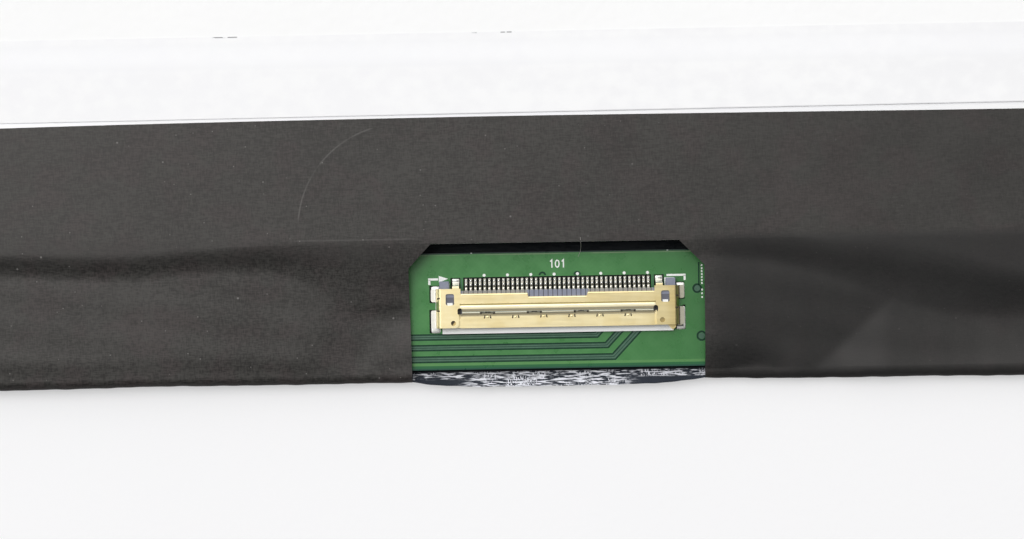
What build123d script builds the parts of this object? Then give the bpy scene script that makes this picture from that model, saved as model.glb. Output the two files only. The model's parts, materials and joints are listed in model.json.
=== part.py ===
from build123d import *
import os

# Slim laptop screen panel lying face down: X to the right and Y up as seen from behind, Z towards the rear.
# The origin is under the middle of the outline, on the surface that the front polariser lies on.
# All sizes are in millimetres.

# Display cell
ACTIVE_WIDTH = 344.2
ACTIVE_HEIGHT = 193.5
POLARISER_MARGIN = 1.2
POLARISER_THICKNESS = 0.2
REAR_POLARISER_THICKNESS = 0.15
GLASS_THICKNESS = 0.5
GLASS_SIDE_MARGIN = 2.6
GLASS_TOP_MARGIN = 2.2
GLASS_BOTTOM_MARGIN = 2.2
BOND_LEDGE = 2.6
SHADING_GAP = 0.1

# Backlight
FILM_THICKNESS = 0.15
FILM_LAP = 1.2
GUIDE_MARGIN = 0.9
GUIDE_THICKNESS = 1.0
GUIDE_LUG_LENGTH = 5.0
GUIDE_LUG_REACH = 0.7
GUIDE_LUG_DROP = 22.0
MIXING_LENGTH = 4.0
REFLECTOR_THICKNESS = 0.2
REFLECTOR_LAP = 0.9
LED_COUNT = 36
LED_LENGTH = 3.0
LED_DEPTH = 1.0
LED_HEIGHT = 0.8
LED_GAP = 0.1
LED_WELL_LENGTH = 2.4
LED_WELL_HEIGHT = 0.45
LED_WELL_DEPTH = 0.25
LED_END_MARGIN = 6.0
FLEX_THICKNESS = 0.1
FLEX_MARGIN = 0.2
FLEX_CLEARANCE = 0.1

# Moulded frame
FRAME_WALL = 0.65
FRAME_BAR = 0.8
FRAME_LIP = 0.1
FRAME_FRONT = 0.35
FRAME_CORNER = 1.0
GLASS_CLEARANCE = 0.15
STACK_CLEARANCE = 0.2
HOOK_COUNT = 3
HOOK_LENGTH = 8.0
HOOK_DEPTH = 1.0
HOOK_REACH = 0.3
HOOK_CLEARANCE = 0.1

# Side brackets of folded steel
BRACKET_THICKNESS = 0.4
BRACKET_LIFT = 0.6
BRACKET_DEPTH = 2.5
EAR_LIFT = 1.6
EAR_REACH = 4.25
EAR_RISE = 6.0
EAR_DROP = 10.0
EAR_ROOT = 8.0
EAR_CORNER = 1.2
EAR_BEND = 0.3
EAR_HOLE_RADIUS = 1.1
EAR_HOLE_EDGE = 2.0
EAR_HOLE_END = 2.5

# Metal plate behind the light bar, and the white strip along its upper edge
PLATE_THICKNESS = 0.2
PLATE_LIP = 0.85
PLATE_LAP = 4.5
PLATE_CLEARANCE = 0.2
STRIP_THICKNESS = 0.08
STRIP_HEIGHT = 8.7
STRIP_GAP = 0.45
STRIP_RAMP = 3.4
STRIP_BEND = 4.0
STRIP_END = 4.0

# Driver films between the glass and the board
SOURCE_FILM_COUNT = 4
SOURCE_FILM_THICKNESS = 0.1
SOURCE_FILM_WIDTH = 42.0
SOURCE_FILM_TAPER = 4.0
GLASS_BOND = 1.6
BOARD_BOND = 1.5
DRIVER_CHIP_LENGTH = 20.0
DRIVER_CHIP_WIDTH = 1.1
DRIVER_CHIP_HEIGHT = 0.4

# Circuit board
BOARD_HEIGHT = 12.5
BOARD_THICKNESS = 0.8
BOARD_GAP = 1.0
BOARD_END = 18.0
BOARD_CORNER = 0.8

# Black cover tape, folded round the lower edge
TAPE_THICKNESS = 0.1
TAPE_END = 10.5
TAPE_PLATEAU = 13.55
TAPE_BAY = 1.05
TAPE_OVERHANG = 0.3
TAPE_SLOPE = 2.3
TAPE_SLOPE_RADIUS = 1.4
TAPE_LAP = 2.5
FOLD_ROOM = 1.27
FOLD_RADIUS = 0.9
WINDOW_MARGIN = 2.13
WINDOW_CORNER = 2.7

# Navy film over the driver films on the front, with a tab that turns up in the window of the tape
FRONT_FILM_GAP = 0.2
FRONT_FILM_SEAM = 0.2
TAB_CLEARANCE = 0.1
TAB_LIP = 0.6
TAB_RADIUS = 0.4

# Display connector, placed by the middle of its contact row
CONNECTOR_X = 84.0
CONNECTOR_DROP = 4.46
CONTACT_COUNT = 40
CONTACT_PITCH = 0.5
CONTACT_WIDTH = 0.24
CONTACT_THICKNESS = 0.12
CONTACT_CLEARANCE = 0.02
CONTACT_TAIL = 1.67
CONTACT_FOOT = 0.82
CONTACT_SHOULDER = 0.68
CONTACT_TIP = 3.3
HOUSING_REAR = 0.42
HOUSING_FRONT = 4.19
HOUSING_FLOOR = 0.35
HOUSING_HEIGHT = 1.0
HOUSING_WALL = 1.4
HOUSING_END = 2.6
HOUSING_CHEEK_FRONT = 3.4
HOUSING_CHEEK_GAP = 0.45
POST_WIDTH = 1.0
POST_REACH = 1.03
POST_HEIGHT = 0.75
POST_OFFSET = 0.25
SHELL_THICKNESS = 0.15
SHELL_MARGIN = 0.6
SHELL_REAR = 0.08
SHELL_FRONT = 3.58
SHELL_NOTCH_HALF = 3.1
SHELL_NOTCH_DEPTH = 0.4
SHELL_NOTCH_SLANT = 0.12
BEAD_Y = 1.42
BEAD_WIDTH = 0.72
BEAD_CREST = 0.4
BEAD_RISE = 0.16
BEAD_RADIUS = 0.2
STEP_Y = 1.98
STEP_RUN = 0.27
STEP_DROP = 0.2
STEP_RADIUS = 0.15
LANCE_WIDTH = 1.4
LANCE_SLIT = 0.08
LANCE_END = 0.22
LANCE_SPACING = 5.0
LANCE_COUNT = 4
SPRING_WIDTH = 0.6
SPRING_SLIT = 0.1
SPRING_LENGTH = 0.3
SPRING_SPACING = 3.0
SPRING_COUNT = 6
SHELL_EAR_SLIT = 0.2
SHELL_EAR_WIDTH = 2.0
SHELL_EAR_REAR = 0.64
SHELL_EAR_FRONT = 3.55
SHELL_EAR_NECK = 1.45
SHELL_EAR_CORNER = 0.4
SHELL_RELIEF_WIDTH = 0.5
SHELL_RELIEF_FRONT = 2.15
LATCH_HOLE_WIDTH = 0.9
LATCH_HOLE_REAR = 0.1
LATCH_HOLE_FRONT = 1.12
LATCH_HOLE_OFFSET = 0.94
LATCH_HOLE_RADIUS = 0.2
LATCH_TONGUE_WIDTH = 0.58
LATCH_TONGUE_LENGTH = 0.26
LATCH_TONGUE_RISE = 0.1
PILOT_HOLE_RADIUS = 0.27
PILOT_HOLE_Y = 3.04
PILOT_HOLE_OFFSET = 0.6
WALL_FLARE = 0.4
WALL_LIFT = 0.3
SHELL_BEND = 0.12
FOOT_LENGTH = 0.6
FOOT_CORNER = 0.2
FOOT_GAP_FRONT = 1.65
FOOT_GAP_REAR = 0.75
LEG_WIDTH = 0.72
LEG_OFFSET = 0.15
LEG_KNEE = 0.2
LEG_RUN = 0.25
LEG_TOE = 1.69

# Parts on the board under the tape, placed from the middle of the panel
CONTROLLER_X = -30.0
CONTROLLER_SIDE = 9.0
CONTROLLER_HEIGHT = 0.85
MEMORY_X = -8.0
MEMORY_LENGTH = 5.0
MEMORY_WIDTH = 4.0
POWER_CHIP_X = -76.0
POWER_CHIP_SIDE = 5.0
LED_DRIVER_X = -108.0
LED_DRIVER_SIDE = 4.0
SMALL_CHIP_HEIGHT = 0.8
CHIP_CHAMFER = 0.1
CHIP_MARK_RADIUS = 0.4
CHIP_MARK_DEPTH = 0.05
INDUCTOR_X = -92.0
INDUCTOR_COUNT = 2
INDUCTOR_SPACING = 5.5
INDUCTOR_SIDE = 4.0
INDUCTOR_HEIGHT = 0.95
INDUCTOR_CORNER = 0.6
CAPACITOR_X = -55.0
CAPACITOR_COLUMNS = 7
CAPACITOR_SPACING = 4.0
CAPACITOR_LENGTH = 1.6
CAPACITOR_WIDTH = 0.8
CAPACITOR_HEIGHT = 0.8
RESISTOR_X = 28.0
RESISTOR_COLUMNS = 9
RESISTOR_SPACING = 5.0
RESISTOR_LENGTH = 1.0
RESISTOR_WIDTH = 0.5
RESISTOR_HEIGHT = 0.35
CHIP_ROW_OFFSET = 3.6
SOCKET_GAP = 8.0
SOCKET_SETBACK = 1.2
SOCKET_DEPTH = 3.4
SOCKET_HEIGHT = 0.95
SOCKET_WALL = 0.8
SOCKET_CLEARANCE = 0.02
FLEX_TAIL_WIDTH = 8.0
FLEX_TAIL_INSERT = 2.0
FLEX_SLOT_CLEARANCE = 0.15

# Levels from the front face to the rear
colour_glass_z = POLARISER_THICKNESS
array_glass_z = colour_glass_z + GLASS_THICKNESS
cell_back_z = array_glass_z + GLASS_THICKNESS
ledge_z = cell_back_z + REAR_POLARISER_THICKNESS
guide_z = ledge_z + 4 * FILM_THICKNESS
reflector_z = guide_z + GUIDE_THICKNESS
reflector_back_z = reflector_z + REFLECTOR_THICKNESS
plate_back_z = reflector_back_z + PLATE_THICKNESS
frame_back_z = reflector_back_z + FRAME_LIP
flex_z = guide_z - FLEX_THICKNESS
board_top_z = array_glass_z + BOARD_THICKNESS
film_front_z = array_glass_z - SOURCE_FILM_THICKNESS
tape_bay_z = board_top_z + TAPE_BAY

# Distances below and above the active area, which centre the outline on the origin
frame_drop = MIXING_LENGTH + LED_GAP + LED_DEPTH + FLEX_MARGIN + FLEX_CLEARANCE + FRAME_BAR
board_drop = frame_drop + PLATE_THICKNESS + BOARD_GAP
outline_drop = board_drop + BOARD_HEIGHT + FOLD_ROOM + TAPE_THICKNESS
frame_rise = GLASS_TOP_MARGIN + GLASS_CLEARANCE + FRAME_WALL
outline_height = outline_drop + ACTIVE_HEIGHT + frame_rise + EAR_RISE

# Places along Y
active_low = outline_drop - outline_height / 2
active_high = active_low + ACTIVE_HEIGHT
colour_glass_low = active_low - GLASS_BOTTOM_MARGIN
array_glass_low = colour_glass_low - BOND_LEDGE
glass_high = active_high + GLASS_TOP_MARGIN
frame_low = active_low - frame_drop
frame_high = active_high + frame_rise
guide_low = active_low - MIXING_LENGTH
guide_high = active_high + GUIDE_MARGIN
films_low = guide_low + FILM_LAP
flex_low = guide_low - LED_GAP - LED_DEPTH - FLEX_MARGIN
flex_high = films_low - STACK_CLEARANCE
plate_low = frame_low - PLATE_THICKNESS
tape_high = plate_low + TAPE_PLATEAU
strip_low = tape_high + STRIP_GAP
strip_high = strip_low + STRIP_HEIGHT
plate_high = strip_low + PLATE_LAP
board_high = active_low - board_drop
board_low = board_high - BOARD_HEIGHT
board_middle = (board_high + board_low) / 2
fold_inner = board_low - FOLD_ROOM
contact_row = board_high - CONNECTOR_DROP

# Half widths along X
polariser_half = ACTIVE_WIDTH / 2 + POLARISER_MARGIN
glass_half = ACTIVE_WIDTH / 2 + GLASS_SIDE_MARGIN
guide_half = ACTIVE_WIDTH / 2 + GUIDE_MARGIN
reflector_half = guide_half + REFLECTOR_LAP
frame_half = glass_half + GLASS_CLEARANCE + FRAME_WALL
tape_half = frame_half - TAPE_END
board_half = frame_half - BOARD_END
contact_half = (CONTACT_COUNT - 1) * CONTACT_PITCH / 2
shell_half = contact_half + SHELL_MARGIN
shell_ear_inner = shell_half + SHELL_EAR_SLIT
shell_ear_outer = shell_ear_inner + SHELL_EAR_WIDTH
foot_outer = shell_ear_outer + WALL_FLARE + FOOT_LENGTH
housing_half = contact_half + HOUSING_END
window_half = foot_outer + WINDOW_MARGIN
socket_half = FLEX_TAIL_WIDTH / 2 + SOCKET_WALL
socket_x = LED_DRIVER_X - LED_DRIVER_SIDE / 2 - SOCKET_GAP - socket_half
socket_high = board_high - SOCKET_SETBACK


def sheet(half_width, y_low, y_high, z_low, thickness, corner=0.0, x_middle=0.0):
    """Flat sheet from y_low to y_high, standing on z_low, with rounded corners where corner is set."""
    place = Pos(x_middle, (y_low + y_high) / 2, z_low)
    if corner:
        outline = RectangleRounded(2 * half_width, y_high - y_low, corner)
    else:
        outline = Rectangle(2 * half_width, y_high - y_low)
    return extrude(place * outline, thickness)


def bent_section(points, radii, thickness):
    """Section of bent sheet: a path thickened on its left, with these radii inside its bends, or sharp where zero."""
    corners = [Vector(*point) for point in points]
    runs = [(end - start).normalized() for start, end in zip(corners, corners[1:])]
    lefts = [Vector(-run.Y, run.X) for run in runs]
    moved = [corners[0] + lefts[0] * thickness]
    near_radii = []
    far_radii = []
    for corner, before, after, left, next_left, radius in zip(corners[1:], runs, runs[1:], lefts, lefts[1:], radii):
        moved.append(corner + (left + next_left) * (thickness / (1 + left.dot(next_left))))
        turns_left = before.cross(after).Z > 0
        outer_radius = radius + thickness if radius else 0
        near_radii.append(outer_radius if turns_left else radius)
        far_radii.append(radius if turns_left else outer_radius)
    moved.append(corners[-1] + lefts[-1] * thickness)
    near = FilletPolyline(*corners, radius=near_radii)
    far = FilletPolyline(*moved, radius=far_radii)
    ends = [Line(corners[0], moved[0]), Line(corners[-1], moved[-1])]
    return make_face(near.edges() + far.edges() + ends)


def along_x(section, x_low, x_high):
    """Section drawn in Y and Z, drawn out along X."""
    return extrude(Plane.YZ.offset(x_low) * section, x_high - x_low)


def along_y(section, y_low, y_high):
    """Section drawn in X and Z, drawn out along Y."""
    return extrude(Plane.XZ.offset(-y_high) * section, y_high - y_low)


def spread(count, spacing):
    """Places of evenly spaced copies about zero."""
    return [(index - (count - 1) / 2) * spacing for index in range(count)]


def on_board(shape, x, y):
    """Shape moved to a place on the rear face of the board."""
    return Pos(x, y, board_top_z) * shape


def polariser(z_low, thickness):
    """Polarising film, a little larger than the picture."""
    return sheet(polariser_half, active_low - POLARISER_MARGIN, active_high + POLARISER_MARGIN, z_low, thickness)


def shading_tape():
    """Black ring that bonds the cell to the ledge of the frame."""
    ring = sheet(glass_half, array_glass_low, glass_high, cell_back_z, REAR_POLARISER_THICKNESS)
    inner_half = polariser_half + SHADING_GAP
    inner_low = active_low - POLARISER_MARGIN - SHADING_GAP
    inner_high = active_high + POLARISER_MARGIN + SHADING_GAP
    return ring - sheet(inner_half, inner_low, inner_high, cell_back_z, REAR_POLARISER_THICKNESS)


def optical_film(level):
    """One of the four films between the cell and the light guide, counted from the cell."""
    return sheet(guide_half, films_low, guide_high, ledge_z + level * FILM_THICKNESS, FILM_THICKNESS)


def light_guide():
    """Clear plate with a locating lug on each side."""
    plate = sheet(guide_half, guide_low, guide_high, guide_z, GUIDE_THICKNESS)
    lug_high = guide_high - GUIDE_LUG_DROP
    lugs = sheet(guide_half + GUIDE_LUG_REACH, lug_high - GUIDE_LUG_LENGTH, lug_high, guide_z, GUIDE_THICKNESS)
    return plate + lugs


def reflector_sheet():
    """White sheet that closes the back of the light guide."""
    return sheet(reflector_half, flex_low, guide_high + REFLECTOR_LAP, reflector_z, REFLECTOR_THICKNESS)


def led_flex():
    """Flexible strip that carries the light sources, with the tail that runs to the board."""
    strip = sheet(guide_half, flex_low, flex_high, flex_z, FLEX_THICKNESS)
    tail_low = socket_high - FLEX_TAIL_INSERT
    return strip + sheet(FLEX_TAIL_WIDTH / 2, tail_low, flex_high, flex_z, FLEX_THICKNESS, x_middle=socket_x)


def led_packages():
    """Row of light sources that face the lower edge of the light guide, each with a sunk window."""
    led_low = flex_low + FLEX_MARGIN
    body = sheet(LED_LENGTH / 2, led_low, led_low + LED_DEPTH, guide_z, LED_HEIGHT)
    well_low = led_low + LED_DEPTH - LED_WELL_DEPTH
    well_z = guide_z + (LED_HEIGHT - LED_WELL_HEIGHT) / 2
    package = body - sheet(LED_WELL_LENGTH / 2, well_low, led_low + LED_DEPTH, well_z, LED_WELL_HEIGHT)
    spacing = 2 * (guide_half - LED_END_MARGIN) / (LED_COUNT - 1)
    return Compound(children=[Pos(x, 0, 0) * package for x in spread(LED_COUNT, spacing)])


def hook_places():
    """Places along Y where the frame hooks into the brackets."""
    spacing = (frame_high - frame_low) / (HOOK_COUNT + 1)
    return [(frame_low + frame_high) / 2 + y for y in spread(HOOK_COUNT, spacing)]


def moulded_frame():
    """White frame: a wall round the glass, a ledge behind it, a shelf over the light bar and a rear rebate."""
    body = sheet(frame_half, frame_low, frame_high, FRAME_FRONT, frame_back_z - FRAME_FRONT, FRAME_CORNER)
    glass_well_half = glass_half + GLASS_CLEARANCE
    well_depth = ledge_z - FRAME_FRONT
    body -= sheet(glass_well_half, frame_low, glass_high + GLASS_CLEARANCE, FRAME_FRONT, well_depth)
    body -= sheet(frame_half, frame_low, array_glass_low, FRAME_FRONT, well_depth)
    opening_half = guide_half + STACK_CLEARANCE
    opening_high = guide_high + STACK_CLEARANCE
    rear_depth = frame_back_z - ledge_z
    body -= sheet(opening_half, flex_high, opening_high, ledge_z, rear_depth)
    body -= sheet(opening_half, flex_low - FLEX_CLEARANCE, flex_high, flex_z, frame_back_z - flex_z)
    lug_high = guide_high - GUIDE_LUG_DROP + STACK_CLEARANCE
    lug_low = lug_high - GUIDE_LUG_LENGTH - 2 * STACK_CLEARANCE
    body -= sheet(opening_half + GUIDE_LUG_REACH, lug_low, lug_high, guide_z, frame_back_z - guide_z)
    rebate_half = reflector_half + STACK_CLEARANCE
    rebate_high = guide_high + REFLECTOR_LAP + STACK_CLEARANCE
    body -= sheet(rebate_half, flex_low - FLEX_CLEARANCE, rebate_high, reflector_z, frame_back_z - reflector_z)
    body -= sheet(rebate_half, frame_low, flex_low, reflector_back_z, FRAME_LIP)
    slot_half = FLEX_TAIL_WIDTH / 2 + FLEX_SLOT_CLEARANCE
    slot_height = FLEX_THICKNESS + FLEX_SLOT_CLEARANCE
    body -= sheet(slot_half, frame_low, flex_low, flex_z, slot_height, x_middle=socket_x)
    hook_z = BRACKET_LIFT + (BRACKET_DEPTH - HOOK_DEPTH) / 2
    for y in hook_places():
        for side in (-1, 1):
            x = side * (frame_half + HOOK_REACH / 2)
            body += sheet(HOOK_REACH / 2, y - HOOK_LENGTH / 2, y + HOOK_LENGTH / 2, hook_z, HOOK_DEPTH, x_middle=x)
    return body


def right_bracket():
    """Folded steel rail on the right side: a wall against the frame and a screw ear at each end."""
    wall_low = frame_low + EAR_ROOT
    wall_high = frame_high - EAR_ROOT
    wall_x = frame_half + BRACKET_THICKNESS / 2
    rail = sheet(BRACKET_THICKNESS / 2, wall_low, wall_high, BRACKET_LIFT, BRACKET_DEPTH, x_middle=wall_x)
    ear_z = EAR_LIFT + BRACKET_THICKNESS
    angle = [(frame_half + EAR_REACH, ear_z), (frame_half, ear_z), (frame_half, BRACKET_LIFT)]
    section = bent_section(angle, [EAR_BEND], BRACKET_THICKNESS)
    ear_spans = [(frame_low - EAR_DROP, wall_low), (wall_high, frame_high + EAR_RISE)]
    for y_low, y_high in ear_spans:
        ear = along_y(section, y_low, y_high)
        rail += fillet(ear.edges().filter_by(Axis.Z).group_by(Axis.X)[-1], EAR_CORNER)
    for y in ear_hole_places():
        rail -= Pos(frame_half + EAR_REACH - EAR_HOLE_EDGE, y, EAR_LIFT) * Cylinder(EAR_HOLE_RADIUS, EAR_REACH)
    window_z = BRACKET_LIFT + (BRACKET_DEPTH - HOOK_DEPTH) / 2 - HOOK_CLEARANCE
    window_half_length = HOOK_LENGTH / 2 + HOOK_CLEARANCE
    for y in hook_places():
        y_low = y - window_half_length
        y_high = y + window_half_length
        window_depth = HOOK_DEPTH + 2 * HOOK_CLEARANCE
        rail -= sheet(BRACKET_THICKNESS / 2, y_low, y_high, window_z, window_depth, x_middle=wall_x)
    return rail


def ear_hole_places():
    """Places along Y of the lower and the upper screw holes."""
    return [frame_low - EAR_DROP + EAR_HOLE_END, frame_high + EAR_RISE - EAR_HOLE_END]


def led_back_plate():
    """Metal plate behind the light bar, turned down over the lower bar of the frame."""
    half = reflector_half + STACK_CLEARANCE - PLATE_CLEARANCE
    back = sheet(half, plate_low, plate_high, reflector_back_z, PLATE_THICKNESS)
    lip = sheet(half, plate_low, frame_low, plate_back_z - PLATE_LIP, PLATE_LIP)
    return back + lip


def rear_fixing_strip():
    """White film that steps from the metal plate down to the reflector."""
    ramp_low = plate_high + PLATE_CLEARANCE
    points = [(strip_low, plate_back_z), (ramp_low, plate_back_z)]
    points += [(ramp_low + STRIP_RAMP, reflector_back_z), (strip_high, reflector_back_z)]
    half = reflector_half - STRIP_END
    return along_x(bent_section(points, [STRIP_BEND, STRIP_BEND], STRIP_THICKNESS), -half, half)


def source_film(x):
    """Film that joins the ledge of the glass to the front face of the board, narrower at the board."""
    top = array_glass_low + GLASS_BOND
    bottom = board_high - BOARD_BOND
    wide = SOURCE_FILM_WIDTH / 2
    narrow = wide - SOURCE_FILM_TAPER
    points = [(-wide, top), (-wide, array_glass_low), (-narrow, board_high), (-narrow, bottom)]
    points += [(narrow, bottom), (narrow, board_high), (wide, array_glass_low), (wide, top)]
    outline = make_face(Polyline(*points, close=True))
    return extrude(Pos(x, 0, film_front_z) * outline, SOURCE_FILM_THICKNESS)


def driver_chip(x):
    """Long thin chip on a driver film, between the glass and the board."""
    middle = (array_glass_low + board_high) / 2
    half_width = DRIVER_CHIP_WIDTH / 2
    chip_low = middle - half_width
    chip_high = middle + half_width
    return sheet(DRIVER_CHIP_LENGTH / 2, chip_low, chip_high, array_glass_z, DRIVER_CHIP_HEIGHT, x_middle=x)


def circuit_board():
    """Long narrow board below the backlight."""
    return sheet(board_half, board_low, board_high, array_glass_z, BOARD_THICKNESS, BOARD_CORNER)


def connector_housing():
    """Moulded body: a floor, a wall with a tunnel for each contact, and a cheek and a post at each end."""
    floor = sheet(housing_half, -HOUSING_FRONT, HOUSING_REAR, 0, HOUSING_FLOOR)
    wall_height = HOUSING_HEIGHT - HOUSING_FLOOR
    body = floor + sheet(housing_half, HOUSING_REAR - HOUSING_WALL, HOUSING_REAR, HOUSING_FLOOR, wall_height)
    cheek_inner = shell_half + HOUSING_CHEEK_GAP
    cheek_half = (housing_half - cheek_inner) / 2
    post_middle = housing_half + POST_OFFSET - POST_WIDTH / 2
    post_high = HOUSING_REAR + POST_REACH
    for side in (-1, 1):
        x = side * (cheek_inner + cheek_half)
        body += sheet(cheek_half, -HOUSING_CHEEK_FRONT, HOUSING_REAR, HOUSING_FLOOR, wall_height, x_middle=x)
        body += sheet(POST_WIDTH / 2, 0, post_high, 0, POST_HEIGHT, x_middle=side * post_middle)
        tongue_low = LATCH_TONGUE_LENGTH - LATCH_HOLE_FRONT
        body += sheet(LATCH_TONGUE_WIDTH / 2, -LATCH_HOLE_FRONT, tongue_low, HOUSING_HEIGHT, LATCH_TONGUE_RISE,
                      x_middle=side * (shell_ear_inner + LATCH_HOLE_OFFSET))
    tunnel_half = CONTACT_WIDTH / 2 + CONTACT_CLEARANCE
    tunnel_height = CONTACT_THICKNESS + CONTACT_CLEARANCE
    tunnel = sheet(tunnel_half, HOUSING_REAR - HOUSING_WALL, HOUSING_REAR, HOUSING_FLOOR, tunnel_height)
    return body - [Pos(x, 0, 0) * tunnel for x in spread(CONTACT_COUNT, CONTACT_PITCH)]


def connector_contacts():
    """Row of contacts, each with a beam on the floor of the housing and a tail bent down to the board."""
    points = [(-CONTACT_TIP, HOUSING_FLOOR), (CONTACT_SHOULDER, HOUSING_FLOOR)]
    points += [(CONTACT_FOOT, 0), (CONTACT_TAIL, 0)]
    section = bent_section(points, [0, 0], CONTACT_THICKNESS)
    contact = along_x(section, -CONTACT_WIDTH / 2, CONTACT_WIDTH / 2)
    return Compound(children=[Pos(x, 0, 0) * contact for x in spread(CONTACT_COUNT, CONTACT_PITCH)])


def shell_top():
    """Top of the shell between the ears: a rear plate, a stiffening bead and a lower front plate."""
    front_z = HOUSING_HEIGHT - STEP_DROP
    bead_z = HOUSING_HEIGHT + BEAD_RISE
    points = [(-SHELL_FRONT, front_z), (-STEP_Y - STEP_RUN, front_z), (-STEP_Y, HOUSING_HEIGHT)]
    points += [(-BEAD_Y - BEAD_WIDTH / 2, HOUSING_HEIGHT), (-BEAD_Y - BEAD_CREST / 2, bead_z)]
    points += [(-BEAD_Y + BEAD_CREST / 2, bead_z), (-BEAD_Y + BEAD_WIDTH / 2, HOUSING_HEIGHT)]
    points += [(SHELL_REAR, HOUSING_HEIGHT)]
    radii = [STEP_RADIUS, STEP_RADIUS, STEP_RADIUS, BEAD_RADIUS, BEAD_RADIUS, STEP_RADIUS]
    top = along_x(bent_section(points, radii, SHELL_THICKNESS), -shell_half, shell_half)
    wide = SHELL_NOTCH_HALF + SHELL_NOTCH_SLANT
    notch_low = SHELL_REAR - SHELL_NOTCH_DEPTH
    notch = [(-wide, SHELL_REAR), (-SHELL_NOTCH_HALF, notch_low), (SHELL_NOTCH_HALF, notch_low), (wide, SHELL_REAR)]
    top -= extrude(Pos(0, 0, HOUSING_HEIGHT) * make_face(Polyline(*notch, close=True)), SHELL_THICKNESS)
    cut_height = HOUSING_HEIGHT + BEAD_RISE
    lance = sheet(LANCE_WIDTH / 2, -STEP_Y, LANCE_SLIT - STEP_Y, HOUSING_FLOOR, cut_height)
    end_half = LANCE_END / 2
    for x in (-LANCE_WIDTH / 2, LANCE_WIDTH / 2):
        lance += sheet(end_half, -STEP_Y - end_half, end_half - STEP_Y, HOUSING_FLOOR, cut_height, x_middle=x)
    top -= [Pos(x, 0, 0) * lance for x in spread(LANCE_COUNT, LANCE_SPACING)]
    slit_high = -STEP_Y - STEP_RUN
    slit = sheet(SPRING_SLIT / 2, slit_high - SPRING_LENGTH, slit_high, HOUSING_FLOOR, cut_height)
    for x in spread(SPRING_COUNT, SPRING_SPACING):
        top -= [Pos(x + side * SPRING_WIDTH / 2, 0, 0) * slit for side in (-1, 1)]
    return top


def shell_side():
    """Right end of the shell: the flat ear with its latch hole, the flared wall, two feet and the rear leg."""
    points = [(shell_half, HOUSING_HEIGHT), (shell_ear_outer, HOUSING_HEIGHT)]
    points += [(shell_ear_outer + WALL_FLARE, 0), (foot_outer, 0)]
    section = bent_section(points, [SHELL_BEND, SHELL_BEND], SHELL_THICKNESS)
    side = along_y(section, -SHELL_EAR_FRONT, SHELL_EAR_REAR)
    gap_half = (WALL_FLARE + FOOT_LENGTH) / 2
    gap_middle = shell_ear_outer + gap_half
    side -= sheet(gap_half, -FOOT_GAP_FRONT, -FOOT_GAP_REAR, 0, WALL_LIFT, x_middle=gap_middle)
    side = fillet(side.edges().filter_by(Axis.Z).group_by(Axis.X)[-1], FOOT_CORNER)
    slit_half = SHELL_EAR_SLIT / 2
    slit_middle = shell_half + slit_half
    side -= sheet(slit_half, -SHELL_EAR_FRONT, -SHELL_EAR_NECK, HOUSING_HEIGHT, SHELL_THICKNESS, x_middle=slit_middle)
    inner_corners = side.edges().filter_by(Axis.Z).filter_by_position(Axis.X, shell_half, shell_ear_inner)
    side = fillet(inner_corners.sort_by(Axis.Y)[0], SHELL_EAR_CORNER)
    latch_half = LATCH_HOLE_WIDTH / 2
    latch_middle = shell_ear_inner + LATCH_HOLE_OFFSET
    side -= sheet(latch_half, -LATCH_HOLE_FRONT, LATCH_HOLE_REAR, HOUSING_HEIGHT, SHELL_THICKNESS,
                  LATCH_HOLE_RADIUS, latch_middle)
    pilot_place = Pos(shell_ear_inner + PILOT_HOLE_OFFSET, -PILOT_HOLE_Y, HOUSING_HEIGHT)
    side -= pilot_place * Cylinder(PILOT_HOLE_RADIUS, HOUSING_HEIGHT)
    knee = SHELL_EAR_REAR + LEG_KNEE
    leg_points = [(SHELL_EAR_REAR, HOUSING_HEIGHT), (knee, HOUSING_HEIGHT), (knee + LEG_RUN, 0), (LEG_TOE, 0)]
    leg = bent_section(leg_points, [SHELL_BEND, SHELL_BEND], SHELL_THICKNESS)
    leg_low = shell_half + LEG_OFFSET
    return side + along_x(leg, leg_low, leg_low + LEG_WIDTH)


def connector_shell():
    """Gold-plated shell, stamped and folded from one sheet, with a relief at the end of each slit beside the front."""
    side = shell_side()
    shell = shell_top() + side + mirror(side, about=Plane.YZ)
    relief_half = SHELL_RELIEF_WIDTH / 2
    relief_depth = 2 * SHELL_THICKNESS + BEAD_RISE + STEP_DROP
    for x in (shell_half + SHELL_EAR_SLIT / 2, -shell_half - SHELL_EAR_SLIT / 2):
        shell -= sheet(relief_half, -SHELL_RELIEF_FRONT, -SHELL_EAR_NECK, HOUSING_HEIGHT - STEP_DROP, relief_depth,
                       0.9 * relief_half, x)
    return shell


def in_connector_place(shape):
    """Connector piece moved from its own middle to its place on the board."""
    return Pos(CONNECTOR_X, contact_row, board_top_z) * shape


def chip(length, width, height):
    """Moulded chip package with bevelled upper edges and a round mark in one corner."""
    body = extrude(Rectangle(length, width), height)
    body = chamfer(body.faces().sort_by(Axis.Z)[-1].edges(), CHIP_CHAMFER)
    mark_x = length / 2 - 2 * CHIP_MARK_RADIUS
    mark_y = width / 2 - 2 * CHIP_MARK_RADIUS
    return body - Pos(-mark_x, mark_y, height) * Cylinder(CHIP_MARK_RADIUS, 2 * CHIP_MARK_DEPTH)


def power_inductors():
    """Flat square inductors side by side."""
    block = extrude(RectangleRounded(INDUCTOR_SIDE, INDUCTOR_SIDE, INDUCTOR_CORNER), INDUCTOR_HEIGHT)
    places = spread(INDUCTOR_COUNT, INDUCTOR_SPACING)
    return Compound(children=[on_board(block, INDUCTOR_X + x, board_middle) for x in places])


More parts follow.
